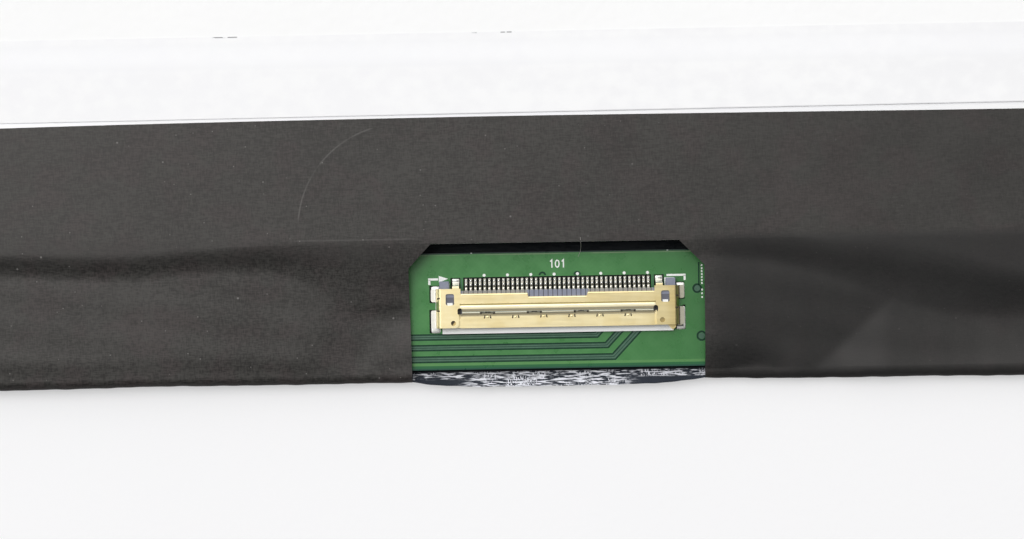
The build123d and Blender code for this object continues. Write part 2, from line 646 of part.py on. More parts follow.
def two_rows(length, width, height, x_middle, columns, spacing):
    """Two rows of small block-shaped parts along the upper and lower edges of the board."""
    block = extrude(Rectangle(length, width), height)
    rows = (board_middle - CHIP_ROW_OFFSET, board_middle + CHIP_ROW_OFFSET)
    return Compound(children=[on_board(block, x_middle + x, y) for y in rows for x in spread(columns, spacing)])


def backlight_connector():
    """Low socket that takes the tail of the light bar from above."""
    socket_low = socket_high - SOCKET_DEPTH
    body = sheet(socket_half, socket_low, socket_high, board_top_z, SOCKET_HEIGHT, x_middle=socket_x)
    slot_half = FLEX_TAIL_WIDTH / 2 + SOCKET_CLEARANCE
    slot_low = socket_high - FLEX_TAIL_INSERT - SOCKET_CLEARANCE
    slot_height = FLEX_THICKNESS + SOCKET_CLEARANCE
    return body - sheet(slot_half, slot_low, socket_high, flex_z, slot_height, x_middle=socket_x)


def rear_cover_tape():
    """Black film: over the plate, down to the board bay and round the lower edge, with a window for the connector."""
    fold_radius = min(FOLD_RADIUS, 0.48 * (tape_bay_z - film_front_z))
    points = [(fold_inner + TAPE_LAP, film_front_z), (fold_inner, film_front_z), (fold_inner, tape_bay_z)]
    slope_high = plate_low - TAPE_OVERHANG
    points += [(slope_high - TAPE_SLOPE, tape_bay_z), (slope_high, plate_back_z), (tape_high, plate_back_z)]
    radii = [fold_radius, fold_radius, TAPE_SLOPE_RADIUS, TAPE_SLOPE_RADIUS]
    tape = along_x(bent_section(points, radii, TAPE_THICKNESS), -tape_half, tape_half)
    below = fold_inner - FOLD_ROOM
    shoulder = plate_low - WINDOW_CORNER
    corner_half = window_half - WINDOW_CORNER
    outline = [(-window_half, below), (window_half, below), (window_half, shoulder), (corner_half, plate_low)]
    outline += [(-corner_half, plate_low), (-window_half, shoulder)]
    window = Pos(CONNECTOR_X, 0, film_front_z - TAPE_THICKNESS) * make_face(Polyline(*outline, close=True))
    return tape - extrude(window, plate_back_z)


def front_cover_film():
    """Film from the lap of the tape up to the front glass, with a tab that turns up below the connector."""
    seam = fold_inner + TAPE_LAP + FRONT_FILM_SEAM
    strip = sheet(tape_half, seam, colour_glass_low - FRONT_FILM_GAP, film_front_z - TAPE_THICKNESS, TAPE_THICKNESS)
    points = [(seam, film_front_z), (fold_inner, film_front_z), (fold_inner, film_front_z + TAB_LIP)]
    tab_half = window_half - TAB_CLEARANCE
    tab = bent_section(points, [TAB_RADIUS], TAPE_THICKNESS)
    return strip + along_x(tab, CONNECTOR_X - tab_half, CONNECTOR_X + tab_half)


def panel_pieces():
    """Every piece of the panel by its name."""
    pieces = {
        "front_polariser": polariser(0, POLARISER_THICKNESS),
        "colour_filter_glass": sheet(glass_half, colour_glass_low, glass_high, colour_glass_z, GLASS_THICKNESS),
        "array_glass": sheet(glass_half, array_glass_low, glass_high, array_glass_z, GLASS_THICKNESS),
        "rear_polariser": polariser(cell_back_z, REAR_POLARISER_THICKNESS),
        "shading_tape": shading_tape(),
        "light_guide": light_guide(),
        "reflector_sheet": reflector_sheet(),
        "led_flex": led_flex(),
        "led_packages": led_packages(),
        "moulded_frame": moulded_frame(),
        "right_bracket": right_bracket(),
        "left_bracket": mirror(right_bracket(), about=Plane.YZ),
        "led_back_plate": led_back_plate(),
        "rear_fixing_strip": rear_fixing_strip(),
        "circuit_board": circuit_board(),
        "connector_housing": in_connector_place(connector_housing()),
        "connector_contacts": in_connector_place(connector_contacts()),
        "connector_shell": in_connector_place(connector_shell()),
        "power_inductors": power_inductors(),
        "backlight_connector": backlight_connector(),
        "rear_cover_tape": rear_cover_tape(),
        "front_cover_film": front_cover_film(),
    }
    films = ["diffuser_film_front", "prism_film_front", "prism_film_rear", "diffuser_film_rear"]
    for level, name in enumerate(films):
        pieces[name] = optical_film(level)
    source_film_spacing = ACTIVE_WIDTH / SOURCE_FILM_COUNT
    for number, x in enumerate(spread(SOURCE_FILM_COUNT, source_film_spacing), start=1):
        pieces[f"source_film_{number}"] = source_film(x)
        pieces[f"driver_chip_{number}"] = driver_chip(x)
    controller = chip(CONTROLLER_SIDE, CONTROLLER_SIDE, CONTROLLER_HEIGHT)
    memory = chip(MEMORY_LENGTH, MEMORY_WIDTH, SMALL_CHIP_HEIGHT)
    power = chip(POWER_CHIP_SIDE, POWER_CHIP_SIDE, SMALL_CHIP_HEIGHT)
    led_driver = chip(LED_DRIVER_SIDE, LED_DRIVER_SIDE, SMALL_CHIP_HEIGHT)
    pieces["timing_controller_chip"] = on_board(controller, CONTROLLER_X, board_middle)
    pieces["memory_chip"] = on_board(memory, MEMORY_X, board_middle)
    pieces["power_chip"] = on_board(power, POWER_CHIP_X, board_middle)
    pieces["led_driver_chip"] = on_board(led_driver, LED_DRIVER_X, board_middle)
    pieces["ceramic_capacitors"] = two_rows(CAPACITOR_LENGTH, CAPACITOR_WIDTH, CAPACITOR_HEIGHT,
                                            CAPACITOR_X, CAPACITOR_COLUMNS, CAPACITOR_SPACING)
    pieces["chip_resistors"] = two_rows(RESISTOR_LENGTH, RESISTOR_WIDTH, RESISTOR_HEIGHT,
                                        RESISTOR_X, RESISTOR_COLUMNS, RESISTOR_SPACING)
    return pieces


os.makedirs("parts", exist_ok=True)
for piece_name, piece in panel_pieces().items():
    export_step(piece, f"parts/{piece_name}.step")
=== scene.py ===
import json
import math
import random

import bmesh
import bpy
import numpy as np
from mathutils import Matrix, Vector


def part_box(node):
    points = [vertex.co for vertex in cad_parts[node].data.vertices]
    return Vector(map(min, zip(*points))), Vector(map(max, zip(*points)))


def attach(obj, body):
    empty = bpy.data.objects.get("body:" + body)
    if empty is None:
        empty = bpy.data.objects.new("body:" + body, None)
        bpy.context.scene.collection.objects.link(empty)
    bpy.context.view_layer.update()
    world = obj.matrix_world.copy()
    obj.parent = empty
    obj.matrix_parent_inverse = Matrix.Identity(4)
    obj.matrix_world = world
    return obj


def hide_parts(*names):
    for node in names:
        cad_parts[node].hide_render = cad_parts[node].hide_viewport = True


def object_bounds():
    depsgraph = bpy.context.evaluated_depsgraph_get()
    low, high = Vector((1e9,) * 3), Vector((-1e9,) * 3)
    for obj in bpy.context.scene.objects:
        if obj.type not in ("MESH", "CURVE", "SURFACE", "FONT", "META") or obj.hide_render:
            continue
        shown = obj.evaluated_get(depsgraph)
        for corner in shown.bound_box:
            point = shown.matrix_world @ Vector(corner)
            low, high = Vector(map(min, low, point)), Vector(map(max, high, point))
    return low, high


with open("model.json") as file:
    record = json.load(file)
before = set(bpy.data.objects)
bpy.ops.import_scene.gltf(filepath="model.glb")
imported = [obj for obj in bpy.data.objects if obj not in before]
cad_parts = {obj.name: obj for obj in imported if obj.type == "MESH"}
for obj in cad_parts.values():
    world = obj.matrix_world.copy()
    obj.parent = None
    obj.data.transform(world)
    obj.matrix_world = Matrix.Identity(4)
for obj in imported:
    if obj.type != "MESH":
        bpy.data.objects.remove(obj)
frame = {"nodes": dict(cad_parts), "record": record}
cad_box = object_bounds()
chance = random.Random(7)

# Lengths are in millimetres and become metres as the meshes are made.
# The connector's own frame has its zero at the middle of the contact row, on the rear face of the board.
MM = 0.001
CONTACT_TIP = 3.3
CONTACTS = 40
PITCH = 0.5
FIRST_CONTACT = -(CONTACTS - 1) / 2 * PITCH
contacts_low, contacts_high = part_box("connector_contacts")
row_x = (contacts_low.x + contacts_high.x) / 2 / MM
row_y = contacts_low.y / MM + CONTACT_TIP
board_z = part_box("circuit_board")[1].z / MM
tape_low, tape_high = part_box("rear_cover_tape")
strip_low, strip_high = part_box("rear_fixing_strip")
plate_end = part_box("led_back_plate")[1].y / MM - row_y
reflector_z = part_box("reflector_sheet")[1].z / MM

# White strip: its edges run askew between two places across, and it steps down beyond the metal plate
STRIP_PLACES = (-58.0, 56.0)
STRIP_LOW = [strip_low.y / MM - row_y + askew for askew in (-0.40, 0.10)]
STRIP_TOP = [strip_high.y / MM - row_y + askew for askew in (-0.33, -0.1)]
STRIP_FILM = 0.08
RAMP_START = plate_end + 0.2
RAMP = 3.4


class Surface:
    """Material whose patterns are laid out in millimetres of the object's own space."""

    def __init__(self, name, roughness=0.5, **fixed):
        self.material = bpy.data.materials.new(name)
        self.material.use_nodes = True
        self.tree = self.material.node_tree
        self.shader = self.tree.nodes["Principled BSDF"]
        self.shader.inputs["Roughness"].default_value = roughness
        for key, value in fixed.items():
            self.shader.inputs[key.replace("_", " ")].default_value = value
        where = self.tree.nodes.new("ShaderNodeTexCoord").outputs["Object"]
        scaled = {0: where, "Scale": 1 / MM}
        self.place = self.node("ShaderNodeVectorMath", scaled, operation="SCALE").outputs[0]
        split = self.node("ShaderNodeSeparateXYZ", {0: self.place})
        self.x, self.y, self.z = split.outputs

    def feed(self, socket, value):
        if isinstance(value, bpy.types.NodeSocket):
            self.tree.links.new(value, socket)
        else:
            socket.default_value = value

    def node(self, kind, inputs, **settings):
        made = self.tree.nodes.new(kind)
        for key, value in settings.items():
            setattr(made, key, value)
        for key, value in inputs.items():
            self.feed(made.inputs[key], value)
        return made

    def noise(self, size, detail=2.0, stretch=(1, 1, 1), shift=0.0, turn=0.0):
        """Cloudy value about 0.5, with features of this size in millimetres."""
        inputs = {0: self.place, 1: (shift, shift, shift), 2: (0, 0, turn), 3: stretch}
        place = self.node("ShaderNodeMapping", inputs).outputs[0]
        inputs = {"Vector": place, "Scale": 1 / size, "Detail": detail}
        return self.node("ShaderNodeTexNoise", inputs).outputs[0]

    def cells(self, size, stretch=(1, 1, 1)):
        """Distance from scattered points that lie about this far apart."""
        place = self.node("ShaderNodeMapping", {0: self.place, 3: stretch}).outputs[0]
        return self.node("ShaderNodeTexVoronoi", {"Vector": place, "Scale": 1 / size}).outputs["Distance"]

    def math(self, operation, first, second=0.0):
        return self.node("ShaderNodeMath", {0: first, 1: second}, operation=operation).outputs[0]

    def ramp(self, value, low, high, start=0.0, end=1.0):
        """Soft step from start to end as the value goes from low to high."""
        inputs = {"Value": value, "From Min": low, "From Max": high, "To Min": start, "To Max": end}
        return self.node("ShaderNodeMapRange", inputs, interpolation_type="SMOOTHSTEP").outputs[0]

    def read(self, value, places, results):
        """Straight-line reading between two places, held beyond them."""
        inputs = {"Value": value, "From Min": places[0], "From Max": places[-1]}
        inputs.update({"To Min": results[0], "To Max": results[-1]})
        return self.node("ShaderNodeMapRange", inputs).outputs[0]

    def band(self, value, low, high, soft):
        """One between low and high, fading to zero over the soft width outside."""
        rise = self.ramp(value, low - soft, low)
        fall = self.ramp(value, high + soft, high)
        return self.math("MULTIPLY", rise, fall)

    def both(self, first, second):
        return self.math("MULTIPLY", first, second)

    def mix(self, factor, first, second):
        made = self.node("ShaderNodeMix", {}, data_type="RGBA")
        for index, value in ((0, factor), (6, first), (7, second)):
            single = isinstance(value, (bpy.types.NodeSocket, float))
            self.feed(made.inputs[index], value if single else (*value, 1))
        return made.outputs[2]

    def finish(self, colour, roughness=None, height=None, depth=0.01):
        self.feed(self.shader.inputs["Base Color"], colour)
        if roughness is not None:
            self.feed(self.shader.inputs["Roughness"], roughness)
        if height is not None:
            bump = self.node("ShaderNodeBump", {"Height": height, "Distance": depth * MM})
            self.feed(self.shader.inputs["Normal"], bump.outputs[0])
        return self.material

    def upright(self):
        """One on faces that stand on edge."""
        normal = self.tree.nodes.new("ShaderNodeNewGeometry").outputs["Normal"]
        steep = self.math("ABSOLUTE", self.node("ShaderNodeSeparateXYZ", {0: normal}).outputs[2])
        return self.ramp(steep, 0.6, 0.4)

    def local(self):
        """Places across and up from the middle of the contact row."""
        return self.math("SUBTRACT", self.x, row_x), self.math("SUBTRACT", self.y, row_y)


def mottled(name, dark, light, size, roughness=(0.4, 0.6), stretch=(1, 1, 1), relief=0.025, **fixed):
    """Two close colours in soft blotches with a fine grain, and a roughness that follows them."""
    surface = Surface(name, **fixed)
    cloud = surface.noise(size, 3.0, stretch)
    grain = surface.noise(size / 9, 2.0, stretch, 3.0)
    both = surface.math("ADD", surface.both(cloud, 0.65), surface.both(grain, 0.35))
    colour = surface.mix(surface.ramp(both, 0.3, 0.7), dark, light)
    return surface.finish(colour, surface.ramp(both, 0.3, 0.7, *roughness), grain, relief * size / 9)


def tape_material():
    """Matt black film: cross grain that fades to the right, warm blotches, dust, one curved scratch, painted
    shade and a painted highlight.
    """
    film = Surface("black_film", Specular_IOR_Level=0.55, Specular_Tint=(1.0, 0.96, 0.93, 1.0))
    shaded = (0.0105, 0.0108, 0.0112)
    # Pale colour of dust and of the scratch, also used for a painted highlight
    dust_and_painted_light = (0.26, 0.25, 0.24)
    scratch_x, scratch_y, scratch_radius = -16.4, 7.2, 11.05
    across, up = film.local()
    rows = film.noise(0.19, 2.0, (0.3, 1.3, 1), 5.0)
    columns = film.noise(0.19, 2.0, (1.3, 0.3, 1), 8.0)
    grain = film.math("ADD", film.both(rows, 0.55), film.both(columns, 0.45))
    strength = film.ramp(across, -55.0, 40.0, 1.0, 0.4)
    fine = film.both(film.math("SUBTRACT", grain, 0.5), strength)
    shade = film.math("ADD", fine, film.both(film.noise(6.0, 3.0), 0.16))
    warm = film.ramp(film.noise(3.2, 3.0, shift=11.0), 0.46, 0.62)
    dark = film.mix(warm, (0.0105, 0.0101, 0.0094), (0.0112, 0.0095, 0.0091))
    light = film.mix(warm, (0.0400, 0.0386, 0.0354), (0.0428, 0.0364, 0.0350))
    colour = film.mix(film.ramp(shade, -0.06, 0.22), dark, light)
    # Painted shade: right of the window, below the plate's edge, the film is darkened towards the shaded
    # colour, a little less on the lower right facet
    beside = film.both(film.ramp(across, 14.0, 19.0), film.ramp(up, 6.4, 5.4))
    facet = film.both(film.ramp(across, 32.0, 42.0), film.ramp(up, -1.5, -3.5))
    colour = film.mix(film.both(beside, film.ramp(facet, 0.0, 1.0, 0.8, 0.62)), colour, shaded)
    # Painted shade: the whole film darkens a little more towards the right
    colour = film.mix(film.ramp(across, 10.0, 50.0, 0.0, 0.12), colour, shaded)
    # Painted shade left of the window, where the film starts to curve down from the plate
    bend_shade = film.both(film.band(up, 4.4, 5.2, 1.6), film.ramp(across, -14.0, -20.0, 0.0, 0.4))
    colour = film.mix(bend_shade, colour, (0.0125, 0.0118, 0.0112))
    fine_dust = film.ramp(film.cells(1.3), 0.07, 0.03)
    dust = film.math("MAXIMUM", fine_dust, film.ramp(film.cells(3.1), 0.045, 0.025))
    dust = film.both(dust, film.ramp(across, 25.0, -15.0, 0.08, 0.5))
    colour = film.mix(dust, colour, dust_and_painted_light)
    from_x = film.math("SUBTRACT", across, scratch_x)
    from_y = film.math("SUBTRACT", up, scratch_y)
    squared = film.math("ADD", film.both(from_x, from_x), film.both(from_y, from_y))
    ring = film.band(film.math("SQRT", squared), scratch_radius, scratch_radius + 0.07, 0.08)
    arc = film.both(film.both(ring, film.ramp(from_x, -2.6, -3.6)), film.ramp(from_y, 0.4, 1.6))
    arc = film.both(arc, film.ramp(film.noise(1.6, shift=9.0), 0.4, 0.6, 0.04, 0.2))
    # Painted highlight: a faint pale line along the crease at the plate's edge, left of the window, in the
    # same pale colour as the dust and the scratch
    painted_fold_tone = film.both(film.band(up, 5.98, 6.06, 0.08), film.band(across, -27.0, -16.5, 2.0))
    colour = film.mix(film.math("MAXIMUM", arc, film.both(painted_fold_tone, 0.1)), colour, dust_and_painted_light)
    return film.finish(colour, film.ramp(shade, -0.1, 0.26, 0.42, 0.54), grain, 0.008)


def navy_material():
    """Dark blue film, with fine pale rub marks where its lip stands proud, and painted shade above the lip.
    """
    film = Surface("navy_film", Specular_IOR_Level=0.14)
    across, up = film.local()
    lip = film.both(film.ramp(up, -8.28, -8.42), film.band(across, -15.6, 15.7, 0.1))
    crest = film.ramp(up, -9.2, -8.95)
    middle = film.band(across, -8.5, 6.0, 3.0)
    strokes = film.ramp(film.noise(0.17, 3.0, (0.15, 1.2, 1)), 0.48, 0.58)
    hatch = film.ramp(film.noise(0.14, 2.0, (1.1, 0.35, 1), 4.0, 0.5), 0.5, 0.6)
    patches = film.ramp(film.noise(1.6, 2.0, (1, 0.6, 1), 7.0), 0.48, 0.6)
    rubbed = film.math("MAXIMUM", strokes, film.both(hatch, patches))
    rubbed = film.both(film.both(rubbed, lip), film.math("MAXIMUM", crest, middle))
    colour = film.mix(film.noise(2.0), (0.016, 0.021, 0.030), (0.036, 0.042, 0.056))
    # Painted shade: nearly black above the lip, where the film lies under the board and the tape
    colour = film.mix(film.ramp(up, -8.2, -8.5, 0.95, 0.0), colour, (0.002, 0.004, 0.006))
    colour = film.mix(film.both(rubbed, 0.94), colour, (0.83, 0.84, 0.90))
    return film.finish(colour, film.ramp(strokes, 0, 1, 0.45, 0.6), strokes, 0.01)


def board_material():
    """Green solder mask over copper, with bare laminate along the edges, a faint weave, painted shade
    towards the right and a painted highlight below the upper edge.
    """
    mask = Surface("board_mask", Specular_IOR_Level=0.5)
    across, up = mask.local()
    weft, warp = (mask.math("SINE", mask.both(place, 11.0)) for place in (mask.x, mask.y))
    weave = mask.both(weft, warp)
    cloud = mask.noise(1.6, 3.0)
    shade = mask.math("ADD", cloud, mask.both(weave, 0.05))
    colour = mask.mix(mask.ramp(shade, 0.25, 0.75), (0.043, 0.188, 0.047), (0.060, 0.226, 0.062))
    # Painted shade: the mask darkens towards the right
    colour = mask.mix(mask.ramp(across, 2.0, 16.0, 0.0, 0.75), colour, (0.036, 0.160, 0.040))
    rim = mask.band(up, -7.56, -7.34, 0.05)
    colour = mask.mix(mask.both(rim, 0.6), colour, (0.105, 0.27, 0.08))
    colour = mask.mix(mask.ramp(up, -7.58, -7.64), colour, (0.010, 0.115, 0.034))
    colour = mask.mix(mask.ramp(up, -7.84, -7.90), colour, (0.006, 0.070, 0.040))
    # Painted highlight: a patchy pale line just below the board's upper edge
    patchy = mask.ramp(mask.noise(2.5, 2.0, shift=4.0), 0.35, 0.6, 0.1, 0.5)
    edge_highlight = mask.both(mask.band(up, 4.20, 4.27, 0.04), patchy)
    colour = mask.mix(edge_highlight, colour, (0.26, 0.30, 0.20))
    colour = mask.mix(mask.ramp(up, 4.31, 4.35), colour, (0.003, 0.028, 0.016))
    specks = mask.both(mask.ramp(mask.cells(0.8), 0.16, 0.08), mask.band(up, 4.35, 4.45, 0.02))
    colour = mask.mix(mask.both(specks, 0.8), colour, (0.55, 0.58, 0.56))
    colour = mask.mix(mask.upright(), colour, (0.17, 0.16, 0.07))
    return mask.finish(colour, mask.ramp(cloud, 0.3, 0.7, 0.26, 0.4), shade, 0.012)


def housing_material():
    """Pale resin, white at the front lip, with painted shade: violet-grey behind the shell, dark between the
    contacts, darker in the mouth and the side openings, and a dark crescent in the left pilot hole.
    """
    resin = Surface("housing_resin", 0.5)
    across, up = resin.local()
    cloud = resin.noise(0.8, 3.0)
    pale = resin.mix(cloud, (0.90, 0.91, 0.90), (0.95, 0.96, 0.95))
    # Painted shade: the resin is pale all over, and behind and under the shell it gets shaded violet-grey
    # copies of its colour
    grey = resin.mix(cloud, (0.18, 0.19, 0.26), (0.28, 0.30, 0.37))
    beside = resin.math("ABSOLUTE", across)
    # Painted shade in a browner, dustier colour between 3.3 and 10.1 either side of the middle
    dust_and_painted_light = resin.mix(cloud, (0.23, 0.22, 0.20), (0.35, 0.34, 0.31))
    grey = resin.mix(resin.band(beside, 3.3, 10.1, 0.1), grey, dust_and_painted_light)
    # Painted shade: dark lines between the contacts, at the contact pitch
    lines = resin.ramp(resin.math("COSINE", resin.both(across, 2 * math.pi / PITCH)), 0.70, 0.95)
    lines = resin.both(lines, resin.ramp(beside, 10.1, 10.0))
    grey = resin.mix(resin.both(lines, 0.8), grey, (0.035, 0.036, 0.045))
    upper, lower = board_z + 1.06, board_z + 1.03
    front = resin.math("MAXIMUM", resin.ramp(up, -3.3, -3.5), resin.ramp(resin.z, lower, upper))
    colour = resin.mix(front, grey, pale)
    # Painted shade inside the mouth below the shell
    mouth = resin.both(resin.band(up, -3.2, -1.1, 0.1), resin.ramp(resin.z, board_z + 0.6, board_z + 0.5))
    mouth = resin.both(mouth, resin.ramp(beside, 10.8, 10.7))
    colour = resin.mix(mouth, colour, (0.30, 0.30, 0.31))
    # Painted shade in the openings beside the shell
    sides = resin.both(resin.ramp(beside, 10.3, 10.4), resin.band(up, -3.28, -0.3, 0.05))
    sides = resin.both(sides, resin.ramp(resin.z, upper, lower))
    colour = resin.mix(resin.both(sides, 0.6), colour, (0.045, 0.042, 0.05))
    # Painted shade in the left pilot hole: a dark crescent beside gold; under the right one the resin is
    # gold
    pilots = resin.both(sides, resin.ramp(up, -2.3, -2.5))
    aside = resin.math("SUBTRACT", resin.both(resin.math("ADD", across, 11.15), 0.8),
                       resin.both(resin.math("ADD", up, 3.04), 0.6))
    crescent = resin.mix(resin.ramp(aside, -0.04, 0.14), (0.05, 0.034, 0.016), (0.62, 0.47, 0.20))
    filled = resin.ramp(across, -1.0, 1.0)
    colour = resin.mix(pilots, colour, resin.mix(filled, crescent, (0.40, 0.30, 0.12)))
    return resin.finish(colour, resin.ramp(cloud, 0.3, 0.7, 0.42, 0.6), cloud, 0.01)


def strip_material():
    """White film with trapped air in lilac clouds, grime and a painted shadow along its lower edge, painted
    shade on its ramp and marks at its top.
    """
    film = Surface("white_strip", 0.6, Specular_IOR_Level=0.3)
    across, up = film.local()
    broad = film.noise(7.0, 3.0, (0.6, 1, 1))
    small = film.noise(1.5, 3.0, (0.8, 1, 1), 6.0)
    cloud = film.math("ADD", film.both(broad, 0.5), film.both(small, 0.5))
    colour = film.mix(film.ramp(cloud, 0.38, 0.62), (0.928, 0.926, 0.938), (0.960, 0.960, 0.964))
    greyer = film.ramp(across, -30.0, 40.0, 0.0, 0.55)
    colour = film.mix(film.both(greyer, film.ramp(cloud, 0.65, 0.35)), colour, (0.90, 0.90, 0.91))
    # Painted shade on the ramp, cancelling its brighter lighting
    ramp_shade = film.band(up, RAMP_START + 0.5, RAMP_START + RAMP - 0.6, 0.6)
    colour = film.mix(film.both(ramp_shade, 0.5), colour, (0.88, 0.88, 0.895))
    # Grime and painted shadow in a line along the lower edge
    from_low = film.math("SUBTRACT", up, film.read(across, STRIP_PLACES, STRIP_LOW))
    patchy = film.ramp(film.noise(4.0, 2.0, shift=2.0), 0.3, 0.6, 0.6, 1.0)
    dirt_and_shadow = film.both(film.ramp(from_low, 0.14, 0.04), patchy)
    dirt_and_shadow = film.both(dirt_and_shadow, film.ramp(across, -45.0, 5.0, 0.02, 0.32))
    colour = film.mix(dirt_and_shadow, colour, (0.26, 0.26, 0.28))
    from_top = film.math("SUBTRACT", film.read(across, STRIP_PLACES, STRIP_TOP), up)
    dashes = film.math("MAXIMUM", film.band(across, -38.5, -33.7, 0.6), film.band(across, -8.3, -4.4, 0.6))
    dashes = film.both(dashes, film.ramp(film.noise(0.7, 2.0, shift=14.0), 0.46, 0.56))
    colour = film.mix(film.both(dashes, film.band(from_top, 0.03, 0.1, 0.04)), colour, (0.30, 0.30, 0.31))
    colour = film.mix(film.upright(), colour, (0.30, 0.30, 0.31))
    return film.finish(colour, film.ramp(cloud, 0.35, 0.65, 0.5, 0.65), small, 0.01)


def gold_material():
    """Gold-plated sheet with rolling lines and a few rubbed patches, tinned where it is soldered, with
    painted shade towards the right and in lines along the bead, and painted highlights on the bead.
    """
    gold = Surface("shell_gold", Metallic=1.0)
    across, up = gold.local()
    lines = gold.noise(0.5, 3.0, (0.12, 1.6, 1))
    cloud = gold.noise(1.8, 3.0, shift=2.0)
    colour = gold.mix(gold.ramp(cloud, 0.3, 0.7), (0.86, 0.72, 0.39), (0.92, 0.80, 0.48))
    colour = gold.mix(gold.both(gold.ramp(lines, 0.55, 0.75), 0.3), colour, (0.94, 0.86, 0.62))
    # Painted shade: the sheet darkens towards the right, most on the right ear and on the right of the rear
    # plate
    ear = gold.ramp(across, 11.2, 12.4, 0.0, 0.3)
    right_shade = gold.math("ADD", gold.ramp(across, 8.8, 10.6, 0.0, 0.35), ear)
    rear = gold.both(gold.ramp(up, -1.1, -0.9), gold.ramp(across, 0.0, 7.0, 0.0, 0.3))
    colour = gold.mix(gold.math("MAXIMUM", right_shade, rear), colour, (0.58, 0.45, 0.18))
    beside = gold.math("ABSOLUTE", across)
    between = gold.ramp(beside, 10.5, 10.4)
    # Painted shade on the bead's rear flank
    painted_fold_tone = gold.both(gold.band(up, -1.12, -0.98, 0.04), between)
    colour = gold.mix(gold.both(painted_fold_tone, 0.95), colour, (0.31, 0.25, 0.11))
    # Painted highlight on the bead's crest
    crest = gold.both(gold.band(up, -1.42, -1.22, 0.05), between)
    colour = gold.mix(gold.both(crest, 0.8), colour, (1.0, 0.95, 0.70))
    # Painted light: the two sloped bands in front of the crest are lightened, and also made rougher
    steps = gold.math("MAXIMUM", gold.band(up, -1.80, -1.54, 0.04), gold.band(up, -2.32, -2.02, 0.04))
    steps = gold.both(steps, between)
    colour = gold.mix(gold.both(steps, 0.6), colour, (0.92, 0.87, 0.70))
    # Painted shade in a line across the bead's front
    brow_shade = gold.both(gold.band(up, -1.68, -1.53, 0.04), between)
    colour = gold.mix(brow_shade, colour, (0.55, 0.50, 0.37))
    # Painted highlight on the narrow flat in front of the bead
    flat = gold.both(gold.band(up, -1.93, -1.79, 0.03), between)
    colour = gold.mix(flat, colour, (1.0, 1.0, 0.84))
    # Painted shade at the bottom of the drop to the front plate
    foot_shade = gold.both(gold.band(up, -2.12, -1.98, 0.04), between)
    colour = gold.mix(gold.both(foot_shade, 0.7), colour, (0.42, 0.40, 0.31))
    tinned = gold.math("MAXIMUM", gold.ramp(beside, 12.94, 13.02), gold.ramp(up, 0.82, 0.95))
    # Painted shade: the solder on the right side feet is darker than on the left ones
    tin_with_right_shade = gold.mix(gold.ramp(across, 12.4, 12.8), (0.84, 0.83, 0.78), (0.46, 0.45, 0.38))
    colour = gold.mix(gold.both(tinned, 0.9), colour, tin_with_right_shade)
    roughness = gold.math("MAXIMUM", gold.ramp(lines, 0.3, 0.7, 0.32, 0.46), gold.both(steps, 0.72))
    return gold.finish(colour, roughness, lines, 0.0006)


def solder_material():
    """Bright solder, rougher on the side feet, with painted shade on the right ones: a darker middle inside
    a dark outline.
    """
    solder = Surface("solder", Metallic=1.0)
    across, up = solder.local()
    cloud = solder.noise(0.5, 3.0)
    colour = solder.mix(cloud, (0.82, 0.81, 0.77), (0.95, 0.95, 0.91))
    # Painted shade on the right side feet: a dark outline, and a darker middle inside it
    for reach, tone in ((0.15, (0.07, 0.07, 0.07)), (0.0, (0.44, 0.42, 0.31))):
        for low, high in ((-3.64, -2.04), (-0.3, 0.42)):
            inner = solder.both(solder.band(across, 12.4, 13.29 + reach, 0.03),
                                solder.band(up, low - reach, high + reach, 0.03))
            colour = solder.mix(solder.both(inner, 0.9), colour, tone)
    feet = solder.ramp(solder.math("ABSOLUTE", across), 12.2, 12.4, 0.0, 0.5)
    roughness = solder.math("MAXIMUM", solder.ramp(cloud, 0.3, 0.7, 0.16, 0.3), feet)
    return solder.finish(colour, roughness, cloud, 0.0007)


def metal(name, dark, light, size, roughness, stretch=(1, 1, 1)):
    return mottled(name, dark, light, size, roughness, stretch, 0.012, Metallic=1.0)


def contact_material():
    """Plated contacts, with painted shade in the steep turn behind each tail and inside the housing."""
    plating = Surface("contact_plating", Metallic=1.0)
    up = plating.local()[1]
    cloud = plating.noise(0.4, 2.0)
    colour = plating.mix(cloud, (0.88, 0.84, 0.70), (0.96, 0.93, 0.82))
    # Painted shade in the steep turn behind each tail and inside the housing
    bend_shade = plating.band(up, 0.79, 0.89, 0.03)
    shaded = plating.math("MAXIMUM", bend_shade, plating.ramp(up, -0.7, -1.0))
    colour = plating.mix(plating.both(shaded, 0.9), colour, (0.055, 0.045, 0.03))
    return plating.finish(colour, plating.ramp(cloud, 0.3, 0.7, 0.16, 0.26))


def flex_material():
    """Amber film with fine copper lines that run down it."""
    film = Surface("amber_film", Specular_IOR_Level=0.5)
    lines = film.ramp(film.math("SINE", film.both(film.x, 9.0)), -0.2, 0.4)
    cloud = film.noise(3.0, 3.0)
    colour = film.mix(cloud, (0.34, 0.17, 0.035), (0.52, 0.30, 0.08))
    colour = film.mix(film.both(lines, 0.6), colour, (0.20, 0.08, 0.025))
    return film.finish(colour, film.ramp(cloud, 0.3, 0.7, 0.24, 0.4), lines, 0.008)


def polariser_material():
    """Dark film with a fine anti-glare grain, blacker in the border round the picture."""
    film = Surface("polariser", Specular_IOR_Level=0.5)
    low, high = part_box("front_polariser")
    border = 1.2
    grain = film.noise(0.12, 2.0)
    colour = film.mix(grain, (0.012, 0.013, 0.016), (0.021, 0.022, 0.026))
    inside_x = film.band(film.x, low.x / MM + border, high.x / MM - border, 0.05)
    inside_y = film.band(film.y, low.y / MM + border, high.y / MM - border, 0.05)
    colour = film.mix(film.both(inside_x, inside_y), (0.004, 0.004, 0.005), colour)
    return film.finish(colour, film.ramp(grain, 0.3, 0.7, 0.3, 0.42), grain, 0.004)


